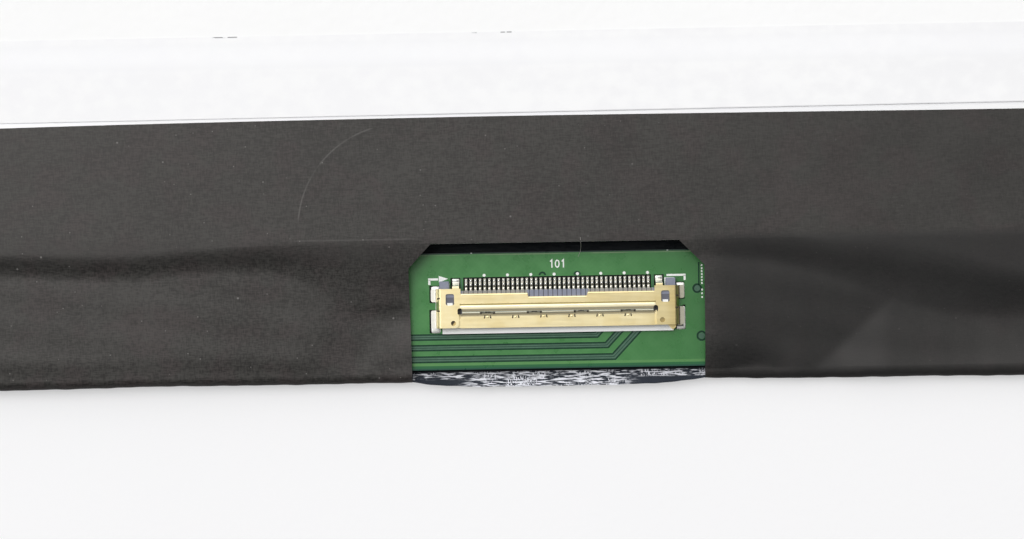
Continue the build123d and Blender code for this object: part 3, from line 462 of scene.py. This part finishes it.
MATERIALS = {
    "polariser": polariser_material(),
    "cell_glass": mottled("cell_glass", (0.09, 0.13, 0.12), (0.14, 0.19, 0.17), 6.0, (0.06, 0.14)),
    "shading_film": mottled("shading_film", (0.010, 0.010, 0.010), (0.018, 0.018, 0.018), 1.0),
    "optical_film": mottled("optical_film", (0.80, 0.82, 0.83), (0.88, 0.90, 0.91), 4.0, (0.3, 0.45)),
    "guide_acrylic": mottled("guide_acrylic", (0.72, 0.80, 0.80), (0.82, 0.88, 0.88), 8.0, (0.08, 0.18)),
    "reflector_white": mottled("reflector_white", (0.966, 0.966, 0.964), (0.980, 0.980, 0.979), 9.0,
                               (0.65, 0.8), Specular_IOR_Level=0.2),
    "white_strip": strip_material(),
    "frame_plastic": mottled("frame_plastic", (0.80, 0.80, 0.78), (0.87, 0.87, 0.85), 2.5, (0.42, 0.6)),
    "bracket_steel": metal("bracket_steel", (0.50, 0.50, 0.50), (0.68, 0.68, 0.67), 3.0,
                           (0.26, 0.42), (1, 0.1, 1)),
    "plate_metal": metal("plate_metal", (0.94, 0.94, 0.96), (0.99, 0.99, 0.99), 2.0,
                         (0.7, 0.85), (0.1, 1, 1)),
    "flex_film": flex_material(),
    "led_resin": mottled("led_resin", (0.78, 0.72, 0.36), (0.88, 0.84, 0.55), 0.6),
    "board_green": board_material(),
    "housing_resin": housing_material(),
    "contact_plating": contact_material(),
    "shell_gold": gold_material(),
    "black_tape": tape_material(),
    "navy_film": navy_material(),
    "chip_resin": mottled("chip_resin", (0.022, 0.022, 0.022), (0.038, 0.038, 0.038), 0.5, (0.5, 0.65)),
    "driver_silicon": mottled("driver_silicon", (0.09, 0.09, 0.10), (0.15, 0.15, 0.17), 2.0, (0.1, 0.2)),
    "inductor_ferrite": mottled("inductor_ferrite", (0.07, 0.07, 0.07), (0.13, 0.13, 0.13), 0.4,
                                (0.6, 0.8)),
    "capacitor_ceramic": mottled("capacitor_ceramic", (0.42, 0.29, 0.18), (0.56, 0.42, 0.29), 0.5,
                                 (0.3, 0.45)),
    "resistor_ceramic": mottled("resistor_ceramic", (0.04, 0.04, 0.05), (0.08, 0.08, 0.09), 0.4,
                                (0.3, 0.45)),
    "socket_resin": mottled("socket_resin", (0.74, 0.72, 0.64), (0.84, 0.82, 0.75), 1.0, (0.4, 0.55)),
}
SOLDER = solder_material()
INK = mottled("white_ink", (0.82, 0.84, 0.80), (0.93, 0.95, 0.91), 0.25, (0.5, 0.65))
GAP = mottled("bare_laminate", (0.005, 0.034, 0.016), (0.010, 0.050, 0.026), 0.4, (0.4, 0.5),
              Specular_IOR_Level=0.2)
TRACE = mottled("trace_mask", (0.042, 0.112, 0.068), (0.062, 0.146, 0.094), 0.6, (0.3, 0.42))
# Painted shade of open slits, laid flat over the sheet
SHADE = mottled("painted_slit_shade", (0.030, 0.024, 0.016), (0.06, 0.05, 0.036), 0.2, (0.5, 0.6),
                Specular_IOR_Level=0.2)
# Dark laminate, also laid as painted shade round the solder of the rear legs and side feet
DARK = mottled("dark_laminate_and_shade", (0.004, 0.006, 0.005), (0.010, 0.013, 0.010), 0.3, (0.5, 0.6),
               Specular_IOR_Level=0.1)

for subpart in frame["record"]["subparts"]:
    for node_slot in frame["nodes"][subpart["node"]].material_slots:
        node_slot.material = MATERIALS[subpart["material_slot"]]


def add_piece(name, builder, materials, smooth=False):
    """Object made from a bmesh in millimetres, riding on the panel."""
    bmesh.ops.scale(builder, vec=(MM, MM, MM), verts=builder.verts)
    mesh = bpy.data.meshes.new(name)
    builder.to_mesh(mesh)
    builder.free()
    for material in materials:
        mesh.materials.append(material)
    if smooth:
        mesh.shade_smooth()
    piece = bpy.data.objects.new(name, mesh)
    bpy.context.scene.collection.objects.link(piece)
    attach(piece, "root")
    return piece


def thicken(piece, thickness):
    """Film of this thickness behind the drawn face, with crisp edges and its last material on the back."""
    solid = piece.modifiers.new("film", "SOLIDIFY")
    solid.thickness = thickness * MM
    solid.offset = -1
    solid.material_offset = len(piece.data.materials) - 1
    made = bpy.data.meshes.new_from_object(piece.evaluated_get(bpy.context.evaluated_depsgraph_get()))
    made.set_sharp_from_angle(angle=math.radians(40))
    piece.modifiers.clear()
    piece.data = made


def soft_step(value):
    """Smooth rise from zero to one as the value goes from zero to one."""
    value = np.clip(value, 0, 1)
    return value * value * (3 - 2 * value)


def along(x, places, values, blur=3.0):
    """Value read along X between stated places, rounded at the places."""
    shifts = np.linspace(-blur, blur, 7)
    return sum(np.interp(x + shift, places, values) for shift in shifts) / len(shifts)


def grid(columns, rows):
    """Flat grid of quads in the plane of two parameters."""
    builder = bmesh.new()
    made = [[builder.verts.new((x, y, 0)) for x in columns] for y in rows]
    for lower, upper in zip(made, made[1:]):
        for a, b, c, d in zip(lower, lower[1:], upper[1:], upper):
            builder.faces.new((a, b, c, d))
    return builder


def cut_line(builder, point, direction):
    """Edges along a straight line through the whole grid."""
    geometry = builder.verts[:] + builder.edges[:] + builder.faces[:]
    normal = Vector((-direction[1], direction[0], 0))
    bmesh.ops.bisect_plane(builder, geom=geometry, dist=1e-5, plane_co=(*point, 0), plane_no=normal)


# Cover tape, in the connector's frame: over the plate, down to the board, round the edge, back on the front
TAPE = 0.1
TAPE_CLEAR = 0.14
PLATEAU_Z = tape_high.z / MM
FRONT_Z = tape_low.z / MM
TAPE_TOP = tape_high.y / MM - row_y
TAPE_BOTTOM = tape_low.y / MM - row_y
TAPE_LAP = 2.5
ROLL = 1.05
ROLL_START = TAPE_BOTTOM + ROLL
WINDOW_HALF = 15.68
WINDOW_TOP = 5.46
WINDOW_CORNER = 2.7
WINDOW_FLARE = 0.16
LEFT_CORNER = (2.32, 2.6)
# How the tape falls from the plate, at places across: where the fall starts and ends, the height that it
# ends at, and the slope beyond
TAPE_FALL = [
    (-64, 4.9, 2.7, 2.75, 0.02),
    (-58, 4.9, 2.7, 2.75, 0.02),
    (-46, 4.5, 2.2, 2.72, 0.015),
    (-40, 5.0, 2.7, 2.8, 0.025),
    (-31, 5.6, 2.8, 2.72, 0.035),
    (-27, 5.75, 1.6, 2.5, 0.01),
    (-22, 5.75, -2.2, 2.06, -0.02),
    (-17, 5.75, -1.8, 2.1, -0.02),
    (0, 5.4, 1.8, 2.9, 0.05),
    (16, 5.75, 3.6, 3.2, 0.055),
    (24, 5.75, 2.8, 2.85, 0.08),
    (31, 5.0, 0.6, 2.5, 0.125),
    (37, 4.5, -1.8, 2.05, 0.09),
    (42, 3.7, -3.0, 1.84, 0.06),
    (48, 1.7, -3.5, 1.8, 0.0),
    (56, 0.9, -3.4, 1.88, 0.0),
]
# The stretch that has fine columns, and how wide its columns and the others are
FINE_STRETCH = (-66, 58)
FINE_COLUMN = 0.45
WIDE_COLUMN = 2.6
FINE_ROW = 0.42


def tape_height(x, y):
    """Rear face of the tape over the board: its fall from the plate, how low it lies, and its bumps."""
    places, starts, ends, lows, tilts = zip(*TAPE_FALL)
    start = along(x, places, starts, 2.0)
    end = along(x, places, ends, 2.0)
    low = along(x, places, lows)
    tilt = along(x, places, tilts)
    # Beyond the fall the film slopes on, as far as a crease that runs askew to the lower edge
    crease = -8.4 + (x - 27.7) * 0.915
    beyond = end - np.maximum(y, crease)
    low = low - tilt * (beyond + np.hypot(beyond, 1.0)) / 2
    share = np.clip((y - end) / (start - end), 0, 1)
    sunk = 0.06 * soft_step((x - 26) / 10) * np.clip(5.4 - np.maximum(y, start), 0, None)
    high = PLATEAU_Z - sunk
    z = low + (high - low) * (0.4 * share + 0.6 * soft_step(share))
    # Ridge over the lower edge of the board
    ridge = along(x, [-64, -20, 26, 32, 40, 44, 49, 56], [0.02, 0.0, 0.0, 0.08, 0.06, 0.17, 0.25, 0.25])
    z += ridge * np.exp(-((y + 8.9) / 1.6) ** 2)
    # Dent that runs askew to the left of the window
    aside = (x + 17.2) * 0.784 - (y + 1.84) * 0.621
    z -= along(aside, [-6.0, 0.0, 6.5], [0, 0.26, 0], 0.7) * soft_step((-0.3 - y) / 2.5)
    # Ripples, most of them below the start of the fall
    below = soft_step((start - y) / 2)
    z += below * 0.03 * np.sin(0.55 * x + 0.9 * y) * np.sin(0.31 * x - 0.7 * y + 1)
    z += below * 0.012 * np.sin(1.7 * x + 0.8 * y + 2) * np.sin(0.9 * y - 0.4 * x)
    z += 0.008 * np.sin(0.21 * x + 0.3 * y) * np.sin(0.13 * x - 0.5 * y + 2)
    # Dips towards the lower edge: far left, left of the window and right of it
    z -= 0.24 * soft_step((-6.2 - y) / 2.4) * soft_step((-23 - x) / 4)
    z -= 0.25 * soft_step((-5.8 - y) / 2.8) * soft_step((x + 21) / 3) * soft_step((-12 - x) / 3)
    z -= 0.037 * np.clip(-4 - y, 0, None) ** 2 * soft_step((x - 12) / 4) * soft_step((26 - x) / 6)
    return np.maximum(z, board_z + TAPE_CLEAR)


def edge_ripple(x):
    """How far the tape's lower edge stands out from a straight line."""
    fine = 0.025 * np.sin(0.9 * x + 1) * np.sin(0.37 * x) + 0.025 * np.sin(2.3 * x) * np.sin(0.5 * x)
    slow = along(x, [-58, -40, -25, -17, 17, 30, 40, 56], [0, -0.07, -0.1, 0, 0, 0.15, 0.23, 0.23])
    return fine + slow + 0.05 * np.sin(0.23 * x + 2)


def tape_place(x, s):
    """Point of the tape's outer face at a distance s from its upper edge, measured along the film."""
    rear = TAPE_TOP - ROLL_START
    roll = math.pi * ROLL
    bow = along(x, [-64, -50, -33, -5, 24, 40, 56], [-0.56, -0.34, -0.19, -0.06, -0.14, -0.21, -0.24], 6.0)
    y = TAPE_TOP - s + bow * soft_step(1 - s / 4)
    z = tape_height(x, np.maximum(y, ROLL_START))
    turn = np.clip((s - rear) / roll, 0, 1) * math.pi
    middle_z = (z + FRONT_Z) / 2
    out = ROLL + edge_ripple(x)
    rolled = s > rear
    y = np.where(rolled, ROLL_START - out * np.sin(turn), y)
    z = np.where(rolled, middle_z + (z - FRONT_Z) / 2 * np.cos(turn), z)
    y = np.where(s > rear + roll, ROLL_START + (s - rear - roll), y)
    left_edge = np.exp(-((x + WINDOW_HALF) / 2.5) ** 2) * soft_step((y + 8) / 10.5) * soft_step((8 - y) / 3)
    return x - WINDOW_FLARE * left_edge, y, z


def cover_tape():
    """Black film with the window for the connector cut out down to its lower edge."""
    far_left = tape_low.x / MM - row_x
    far_right = tape_high.x / MM - row_x
    fine_from, fine_to = FINE_STRETCH
    columns = np.concatenate([np.arange(far_left, fine_from, WIDE_COLUMN),
                              np.arange(fine_from, fine_to, FINE_COLUMN),
                              np.linspace(fine_to, far_right, 10)])
    rear = TAPE_TOP - ROLL_START
    roll = math.pi * ROLL
    rows = np.concatenate([np.arange(0, rear, FINE_ROW), np.linspace(rear, rear + roll, 16),
                           rear + roll + np.linspace(0.4, TAPE_LAP - ROLL + TAPE, 3)])
    builder = grid(columns, rows)
    window_s = TAPE_TOP - WINDOW_TOP
    cut_line(builder, (-WINDOW_HALF, 0), (0, 1))
    cut_line(builder, (WINDOW_HALF, 0), (0, 1))
    cut_line(builder, (0, window_s), (1, 0))
    corners = {-1: LEFT_CORNER, 1: (WINDOW_CORNER, WINDOW_CORNER)}
    for side, (wide, tall) in corners.items():
        cut_line(builder, (side * (WINDOW_HALF - wide), window_s), (side * wide, tall))
    inside = []
    for face in builder.faces:
        x, s, _ = face.calc_center_median()
        wide, tall = corners[-1 if x < 0 else 1]
        half = WINDOW_HALF - wide * max(0, 1 - (s - window_s) / tall)
        if s > window_s and abs(x) < half:
            inside.append(face)
    bmesh.ops.delete(builder, geom=inside, context="FACES")
    flat = np.array([vertex.co for vertex in builder.verts])
    x, y, z = tape_place(flat[:, 0], flat[:, 1])
    for vertex, place in zip(builder.verts, np.stack([x + row_x, y + row_y, z], 1)):
        vertex.co = place
    bmesh.ops.reverse_faces(builder, faces=builder.faces)
    films = [MATERIALS["black_tape"], MATERIALS["navy_film"]]
    piece = add_piece("cover_tape", builder, films, True)
    thicken(piece, TAPE)
    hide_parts("rear_cover_tape")


cover_tape()


def fixing_strip():
    """White film over the upper edge of the metal plate, stepping down to the reflector."""
    left, right = strip_low.x / MM - row_x, strip_high.x / MM - row_x
    builder = grid(np.linspace(left, right, 120), np.linspace(0, 1, 30))
    for vertex in builder.verts:
        x, share, _ = vertex.co
        low = np.interp(x, STRIP_PLACES, STRIP_LOW)
        y = low + share * (np.interp(x, STRIP_PLACES, STRIP_TOP) - low)
        top = strip_high.z / MM
        z = top - (top - reflector_z - STRIP_FILM) * soft_step((y - RAMP_START) / RAMP)
        vertex.co = (x + row_x, y + row_y, z)
    piece = add_piece("fixing_strip", builder, [MATERIALS["white_strip"]], True)
    thicken(piece, STRIP_FILM)
    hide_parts("rear_fixing_strip")


def front_film():
    """Navy film on the front of the board, with its lip bowed out and turned up below the connector."""
    low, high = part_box("front_cover_film")
    seam = TAPE_BOTTOM + TAPE + TAPE_LAP + 0.02
    front_z = low.z / MM + TAPE
    flat = grid(np.linspace(low.x / MM, high.x / MM, 60), np.linspace(seam + row_y, high.y / MM, 6))
    for vertex in flat.verts:
        vertex.co.z = front_z
    half = WINDOW_HALF + 0.3
    tab = grid(np.linspace(-half, half, 160), np.linspace(0, 1, 26))
    for vertex in tab.verts:
        x, t, _ = vertex.co
        bow = 0.68 * (1 - (abs(x) / half) ** 4.5) - 0.16
        bow += 0.02 * math.sin(1.3 * x) + 0.012 * math.sin(3.1 * x + 1)
        edge = TAPE_BOTTOM - bow
        y = seam + (edge - seam) * min(1.0, 1.15 * t)
        curl = max(0.0, (t - 0.62) / 0.38)
        wave = 0.04 * math.sin(2.1 * x) * curl
        tucked = 0.12 * soft_step((abs(x) - WINDOW_HALF + 0.3) / 0.25)
        vertex.co = (x + row_x, y + row_y, front_z + tucked + (0.72 + wave - tucked) * curl ** 1.6)
    mesh = bpy.data.meshes.new("tab")
    tab.to_mesh(mesh)
    tab.free()
    flat.from_mesh(mesh)
    bpy.data.meshes.remove(mesh)
    piece = add_piece("front_film", flat, [MATERIALS["navy_film"]], True)
    thicken(piece, TAPE)
    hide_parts("front_cover_film")


# Flat marks on the board: how deep they reach into it, and how high each kind stands so that it shows
SUNK = 0.005
TRACE_GAP = 0.005
TRACE_FILL = 0.003
VIA = 0.004
PAD_LINE = 0.006
SURROUND = 0.003
PRINT = 0.015


def prism(builder, outline, z_low, z_high):
    """Upright prism on a flat outline, in the connector's frame, open underneath."""
    lower = [builder.verts.new((x + row_x, y + row_y, z_low)) for x, y in outline]
    upper = [builder.verts.new((x + row_x, y + row_y, z_high)) for x, y in outline]
    builder.faces.new(upper)
    for index, corner in enumerate(lower):
        after = (index + 1) % len(outline)
        builder.faces.new((corner, lower[after], upper[after], upper[index]))


def sheet(builder, rows):
    """Strip of faces between rows of points, in the connector's frame, that lie side by side."""
    made = [[builder.verts.new((x + row_x, y + row_y, z)) for x, y, z in row] for row in rows]
    for lower, upper in zip(made, made[1:]):
        for a, b, c, d in zip(lower, lower[1:], upper[1:], upper):
            builder.faces.new((a, b, c, d))


def flat_line(builder, points, width, z_low, z_high):
    """Flat line of this width along a path, mitred at its bends."""
    points = [Vector(point) for point in points]
    runs = [(end - start).normalized() for start, end in zip(points, points[1:])]
    left, right = [], []
    for index, point in enumerate(points):
        before = runs[max(index - 1, 0)]
        after = runs[min(index, len(runs) - 1)]
        normal = Vector((-before.y - after.y, before.x + after.x)).normalized()
        reach = width / 2 / normal.dot(Vector((-after.y, after.x)))
        left.append(point + normal * reach)
        right.append(point - normal * reach)
    for a, b, c, d in zip(right, right[1:], left[1:], left):
        prism(builder, (a, b, c, d), z_low, z_high)


def line(builder, points, width, height):
    """Flat line on the board."""
    flat_line(builder, points, width, board_z - SUNK, board_z + height)


def ring(builder, x, y, radius, width, height, start=0.0, end=360.0):
    """Flat ring, or part of one, on the board."""
    angles = [math.radians(start + (end - start) * step / 24) for step in range(25)]
    inner, outer = radius - width / 2, radius + width / 2
    for a, b in zip(angles, angles[1:]):
        corners = [(outer, a), (outer, b), (inner, b), (inner, a)]
        outline = [(x + r * math.cos(t), y + r * math.sin(t)) for r, t in corners]
        prism(builder, outline, board_z - SUNK, board_z + height)


# Lanes of traces: upper edge, lower edge and where each turns up under the connector
LANES = [(-4.26, -4.80, 4.25), (-5.40, -5.93, 5.35), (-6.62, -7.20, 6.1)]
LANE_START = -40
LANE_END = -4.05
LANE_SLOPE = 0.94


def lane(y, corner):
    """Path of a line along the board that turns up at a corner."""
    return [(LANE_START, y), (corner, y), (corner - LANE_SLOPE * (y - LANE_END), LANE_END)]


def board_traces():
    """Gaps beside the signal traces, the traces' own tone and the clearances round the vias."""
    gaps = bmesh.new()
    fills = bmesh.new()
    for upper, lower, turn in LANES:
        middle = (upper + lower) / 2
        for y, width in ((upper, 0.17), (middle, 0.06), (lower, 0.17)):
            corner = turn - 0.3 * (y - lower) / (upper - lower)
            line(gaps, lane(y, corner), width, TRACE_GAP)
        line(fills, lane(middle, turn - 0.15), upper - lower, TRACE_FILL)
    for x, y, radius in ((14.98, 0.26, 0.42), (15.38, -4.84, 0.46)):
        ring(gaps, x, y, radius, 0.2, VIA)
        ring(fills, x, y, 0.17, 0.32, VIA)
    line(gaps, [(15.2, 3.05), (15.17, 0.62)], 0.16, VIA)
    for x in (-1.57, 2.16):
        ring(gaps, x, 1.93, 0.3, 0.2, VIA, 0, 180)
    add_piece("trace_gaps", gaps, [GAP])
    for side in (-1, 1):
        line(fills, [(side * 10.23, 0.5), (side * 10.23, 1.78)], 0.1, PAD_LINE)
    add_piece("trace_fills", fills, [TRACE])


def pad_surrounds():
    """Dark laminate and painted shade round the contact tails, the rear legs and the side feet."""
    shade = bmesh.new()
    line(shade, [(-10.06, 1.13), (10.06, 1.13)], 1.4, SURROUND)
    for side, outer in ((-1, 13.74), (1, 13.66)):
        line(shade, [(side * 10.36, 1.2), (side * 11.42, 1.2)], 1.22, SURROUND)
        line(shade, [(side * 12.6, 0.08), (side * (outer - 0.04), 0.08)], 1.84, SURROUND)
        line(shade, [(side * 12.6, -2.84), (side * outer, -2.84)], 2.52, SURROUND)
    line(shade, [(13.4, -1.54), (13.7, -1.54)], 0.14, SURROUND)
    add_piece("pad_surrounds", shade, [DARK])


def board_marks():
    """White print: corner marks, an arrow, counting dots, dashes and the number 101."""
    ink = bmesh.new()
    line(ink, [(-13.81, 1.68), (-12.75, 1.68)], 0.24, PRINT)
    line(ink, [(-13.69, 1.6), (-13.69, 1.1)], 0.24, PRINT)
    prism(ink, [(-12.67, 1.35), (-11.67, 1.72), (-12.67, 2.05)], board_z - SUNK, board_z + PRINT)
    line(ink, [(11.72, 1.72), (13.77, 1.72)], 0.22, PRINT)
    line(ink, [(13.66, 1.66), (13.66, 1.15)], 0.22, PRINT)
    line(ink, [(-11.6, 1.22), (-11.6, 0.66)], 0.13, PRINT)
    line(ink, [(11.55, 0.66), (11.55, 1.42), (12.5, 1.42)], 0.13, PRINT)
    dot = 0.165
    turns = np.linspace(0, 2 * math.pi, 17)[:-1]
    for number in range(8):
        x = -7.81 + 2.5 * number
        outline = [(x + dot * math.cos(t), 2.03 + dot * math.sin(t)) for t in turns]
        prism(ink, outline, board_z - SUNK, board_z + PRINT)
    for y in (2.72, 2.4, 2.08, 1.76, 1.44, 1.12, 0.8, 0.1, -0.3, -0.7):
        line(ink, [(15.5, y + 0.1), (15.5, y - 0.1)], 0.16, PRINT)
    stroke = 0.13
    for x in (-0.56, 0.68):
        line(ink, [(x - 0.14, 3.38), (x + 0.03, 3.55), (x + 0.03, 2.72)], stroke, PRINT)
    turns = np.linspace(0, 2 * math.pi, 19)
    line(ink, [(0.04 + 0.2 * math.cos(t), 3.14 + 0.37 * math.sin(t)) for t in turns], stroke, PRINT)
    add_piece("board_marks", ink, [INK])


def dome(builder, x, y, z, radii, power=2.6, lean=0.0):
    """Rounded lump on a flat face, in the connector's frame, with its top moved along Y by the lean."""
    turns = 16
    levels = 6
    rings = []
    for level in range(levels):
        rise = level / levels * math.pi / 2
        spread = math.cos(rise) ** 0.7
        row = []
        for turn in range(turns):
            angle = 2 * math.pi * turn / turns
            c, s = math.cos(angle), math.sin(angle)
            px = x + radii[0] * spread * math.copysign(abs(c) ** (2 / power), c)
            py = y + lean * math.sin(rise) + radii[1] * spread * math.copysign(abs(s) ** (2 / power), s)
            row.append(builder.verts.new((px + row_x, py + row_y, z + radii[2] * math.sin(rise))))
        rings.append(row)
    for lower, upper in zip(rings, rings[1:]):
        for index in range(turns):
            after = (index + 1) % turns
            builder.faces.new((lower[index], lower[after], upper[after], upper[index]))
    top = builder.verts.new((x + row_x, y + lean + row_y, z + radii[2]))
    for index in range(turns):
        builder.faces.new((rings[-1][index], rings[-1][(index + 1) % turns], top))


def solder_joints():
    """Solder on the contact tails, the rear legs and the side feet of the shell, and the contacts' knees."""
    joints = bmesh.new()
    seat = board_z - 0.01
    contact_places = [FIRST_CONTACT + PITCH * number for number in range(CONTACTS)]
    for x in contact_places:
        upper = 1.52 + chance.uniform(-0.03, 0.02)
        dome(joints, x, upper, seat, (0.135, 0.17, 0.26), 2.1, -0.07)
        dome(joints, x, 1.09 + chance.uniform(-0.02, 0.02), seat, (0.135, 0.18, 0.26), 2.1, -0.07)
    squared = 7.0
    for side, shift in ((-1, 0.1), (1, 0.02)):
        dome(joints, side * 10.87, 1.5, seat, (0.43, 0.27, 0.22), 3.2)
        dome(joints, side * 13.14 + shift, 0.08, seat, (0.49, 0.87, 0.14), squared)
        dome(joints, side * 13.16 + shift, -2.88, seat, (0.52, 1.26, 0.14), squared)
    dome(joints, -12.83, -1.08, seat, (0.25, 0.66, 0.18), squared)
    add_piece("solder_joints", joints, [SOLDER], True)
    knees = bmesh.new()
    for x in contact_places:
        dome(knees, x, 0.61, board_z + 0.46, (0.12, 0.14, 0.09), 2.2, -0.05)
    add_piece("contact_knees", knees, [MATERIALS["contact_plating"]], True)


# Shell: the heights of its top and of its lower front plate, and the slits between that plate and the ears
SHELL_TOP = board_z + 1.15
SHELL_FRONT = board_z + 0.95
SLIT = (10.35, 10.55)
PROUD = 0.004


def shell_details():
    """Painted shade of the slits round the lances and springs of the shell and of the ears' notches, and the
    raised springs of its front plate.
    """
    slits = bmesh.new()
    springs = bmesh.new()
    for number in range(6):
        x = -7.5 + 3.0 * number
        for side in (-1, 1):
            ends = [(x + side * 0.27, -2.22), (x + side * 0.36, -2.58)]
            flat_line(slits, ends, 0.11, SHELL_FRONT - 0.02, SHELL_FRONT + PROUD)
        dome(springs, x, -2.42, SHELL_FRONT - 0.01, (0.15, 0.1, 0.05), 2.2, -0.03)
    for number in range(4):
        x = -7.5 + 5.0 * number
        for side in (-1, 1):
            ends = [(x + side * 0.7, -1.84), (x + side * 0.7, -2.04)]
            flat_line(slits, ends, 0.2, SHELL_TOP - 0.12, SHELL_TOP + PROUD)
        lance = [(x - 0.34, -1.98), (x - 0.2, -1.86), (x + 0.2, -1.86), (x + 0.34, -1.98)]
        flat_line(slits, lance, 0.08, SHELL_TOP - 0.1, SHELL_TOP + PROUD)
    # Painted shade of the notches where the side feet meet the ears
    for x, y in ((-12.72, -0.38), (-12.76, -1.7), (12.74, -0.46), (12.7, -1.75)):
        flat_line(slits, [(x - 0.15, y), (x + 0.15, y)], 0.15, SHELL_TOP - 0.3, SHELL_TOP + PROUD)
    add_piece("shell_slit_shade", slits, [SHADE])
    add_piece("shell_springs", springs, [MATERIALS["shell_gold"]], True)


def shell_rim():
    """Burr along the shell's rear edge, metal that closes the slits beside the front plate, and a wedge."""
    rim = bmesh.new()
    edges = [(-10.3, 0.08), (-3.22, 0.08), (-3.1, -0.32), (3.1, -0.32), (3.22, 0.08), (10.3, 0.08)]
    burr = ((-0.17, -0.005), (-0.14, 0.035), (0.0, -0.005))
    sheet(rim, [[(x, y + back, SHELL_TOP + rise) for x, y in edges] for back, rise in burr])
    inner, outer = SLIT
    flush, slit_end = -2.75, -3.54
    sheet(rim, [[(-x, -2.1, SHELL_FRONT - 0.4), (-x, flush, SHELL_FRONT)] for x in (outer, inner)])
    fill_x = -outer - 0.1
    flat_line(rim, [(fill_x, flush), (fill_x, slit_end)], 0.6, SHELL_FRONT - 0.15, SHELL_FRONT - PROUD)
    ledge_z = SHELL_TOP - 0.005
    ledge = ((inner - 0.005, SHELL_FRONT), (outer + 0.02, ledge_z))
    sheet(rim, [[(x, -1.98, z), (x, slit_end, z)] for x, z in ledge])
    corner_x = outer + 0.16
    flat_line(rim, [(corner_x, -3.2), (corner_x, slit_end)], 0.3, SHELL_FRONT, ledge_z)
    wedge = [(11.72, -3.5), (12.22, -4.06), (12.36, -4.06), (12.62, -3.84), (12.62, -3.5)]
    prism(rim, wedge, board_z + 0.3, board_z + 0.5)
    add_piece("shell_rim", rim, [MATERIALS["shell_gold"]])


def stray_fibre():
    """Fine hair caught across the slot above the board."""
    curve = bpy.data.curves.new("stray_fibre", "CURVE")
    curve.dimensions = "3D"
    curve.bevel_depth = 0.018 * MM
    spline = curve.splines.new("NURBS")
    points = [(2.5, 5.9, 3.49), (2.52, 5.5, 3.5), (2.6, 5.0, 2.7)]
    points += [(2.56, 4.5, 1.6), (2.4, 4.1, 1.52), (2.3, 3.85, 1.52)]
    spline.points.add(len(points) - 1)
    for target, (x, y, z) in zip(spline.points, points):
        target.co = ((x + row_x) * MM, (y + row_y) * MM, z * MM, 1)
    spline.order_u = 3
    spline.use_endpoint_u = True
    curve.materials.append(mottled("fibre", (0.30, 0.28, 0.26), (0.5, 0.48, 0.45), 0.2))
    piece = bpy.data.objects.new("stray_fibre", curve)
    bpy.context.scene.collection.objects.link(piece)
    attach(piece, "root")


fixing_strip()
front_film()
board_traces()
pad_surrounds()
board_marks()
solder_joints()
shell_details()
shell_rim()
stray_fibre()

# Floor: pale, and a little brighter to the camera near the panel than far from it
FLOOR = Surface("floor", 0.6)
cloud = FLOOR.noise(60.0, 2.0)
pale = FLOOR.mix(cloud, (0.46, 0.458, 0.467), (0.485, 0.483, 0.492))
FLOOR.finish(pale, height=FLOOR.noise(0.8), depth=0.02)
seen = FLOOR.tree.nodes.new("ShaderNodeLightPath").outputs["Is Camera Ray"]
across, up = FLOOR.local()
far = FLOOR.math("SQRT", FLOOR.math("ADD", FLOOR.both(across, across), FLOOR.both(up, up)))
glow = FLOOR.ramp(far, 80.0, 320.0, 0.45, 0.24)
FLOOR.feed(FLOOR.shader.inputs["Emission Strength"], FLOOR.both(seen, glow))
bpy.ops.mesh.primitive_plane_add(size=6.0, location=(0, 0, cad_box[0][2]))
floor = bpy.context.object
floor.name = "floor"
floor.data.materials.append(FLOOR.material)

# Light from all round, stronger from the upper left of the panel, and a soft lamp on the same side
world = bpy.data.worlds.new("studio")
bpy.context.scene.world = world
world.use_nodes = True
tree = world.node_tree
sky = tree.nodes["Background"]
sky.inputs["Color"].default_value = (1, 1, 1, 1)
direction = tree.nodes.new("ShaderNodeTexCoord").outputs["Generated"]
towards = tree.nodes.new("ShaderNodeVectorMath")
towards.operation = "DOT_PRODUCT"
tree.links.new(direction, towards.inputs[0])
towards.inputs[1].default_value = (-0.42, 0.9, 0)
slope = tree.nodes.new("ShaderNodeMapRange")
for key, value in (("From Min", -0.6), ("From Max", 0.6), ("To Min", 0.1), ("To Max", 1.36)):
    slope.inputs[key].default_value = value
slope.interpolation_type = "SMOOTHSTEP"
tree.links.new(towards.outputs["Value"], slope.inputs["Value"])
rays = tree.nodes.new("ShaderNodeLightPath")
pick = tree.nodes.new("ShaderNodeMix")
tree.links.new(rays.outputs["Is Camera Ray"], pick.inputs[0])
tree.links.new(slope.outputs[0], pick.inputs[2])
pick.inputs[3].default_value = 1.0
tree.links.new(pick.outputs[0], sky.inputs["Strength"])

lamp = bpy.data.lights.new("window_light", "SUN")
lamp.energy = 0.97
lamp.angle = math.radians(37)
lamp_object = bpy.data.objects.new("window_light", lamp)
lamp_object.location = (-0.4, 0.36, 0.88)
lamp_object.rotation_euler = (-lamp_object.location).to_track_quat("-Z", "Y").to_euler()
bpy.context.scene.collection.objects.link(lamp_object)

# Camera: straight above the board, with a picture this many millimetres wide there
FIELD = 109.67
camera = bpy.data.cameras.new("camera")
camera.lens = 85.0
camera.sensor_width = 36.0
camera.sensor_fit = "HORIZONTAL"
camera.clip_start = 0.01
camera_object = bpy.data.objects.new("camera", camera)
height = board_z + FIELD * camera.lens / camera.sensor_width
camera_object.location = ((row_x - 4.81) * MM, (row_y + 2.6) * MM, height * MM)
camera_object.rotation_euler = (0, 0, math.radians(-1.0))
bpy.context.scene.collection.objects.link(camera_object)
bpy.context.scene.camera = camera_object
bpy.context.scene.view_settings.view_transform = "Standard"
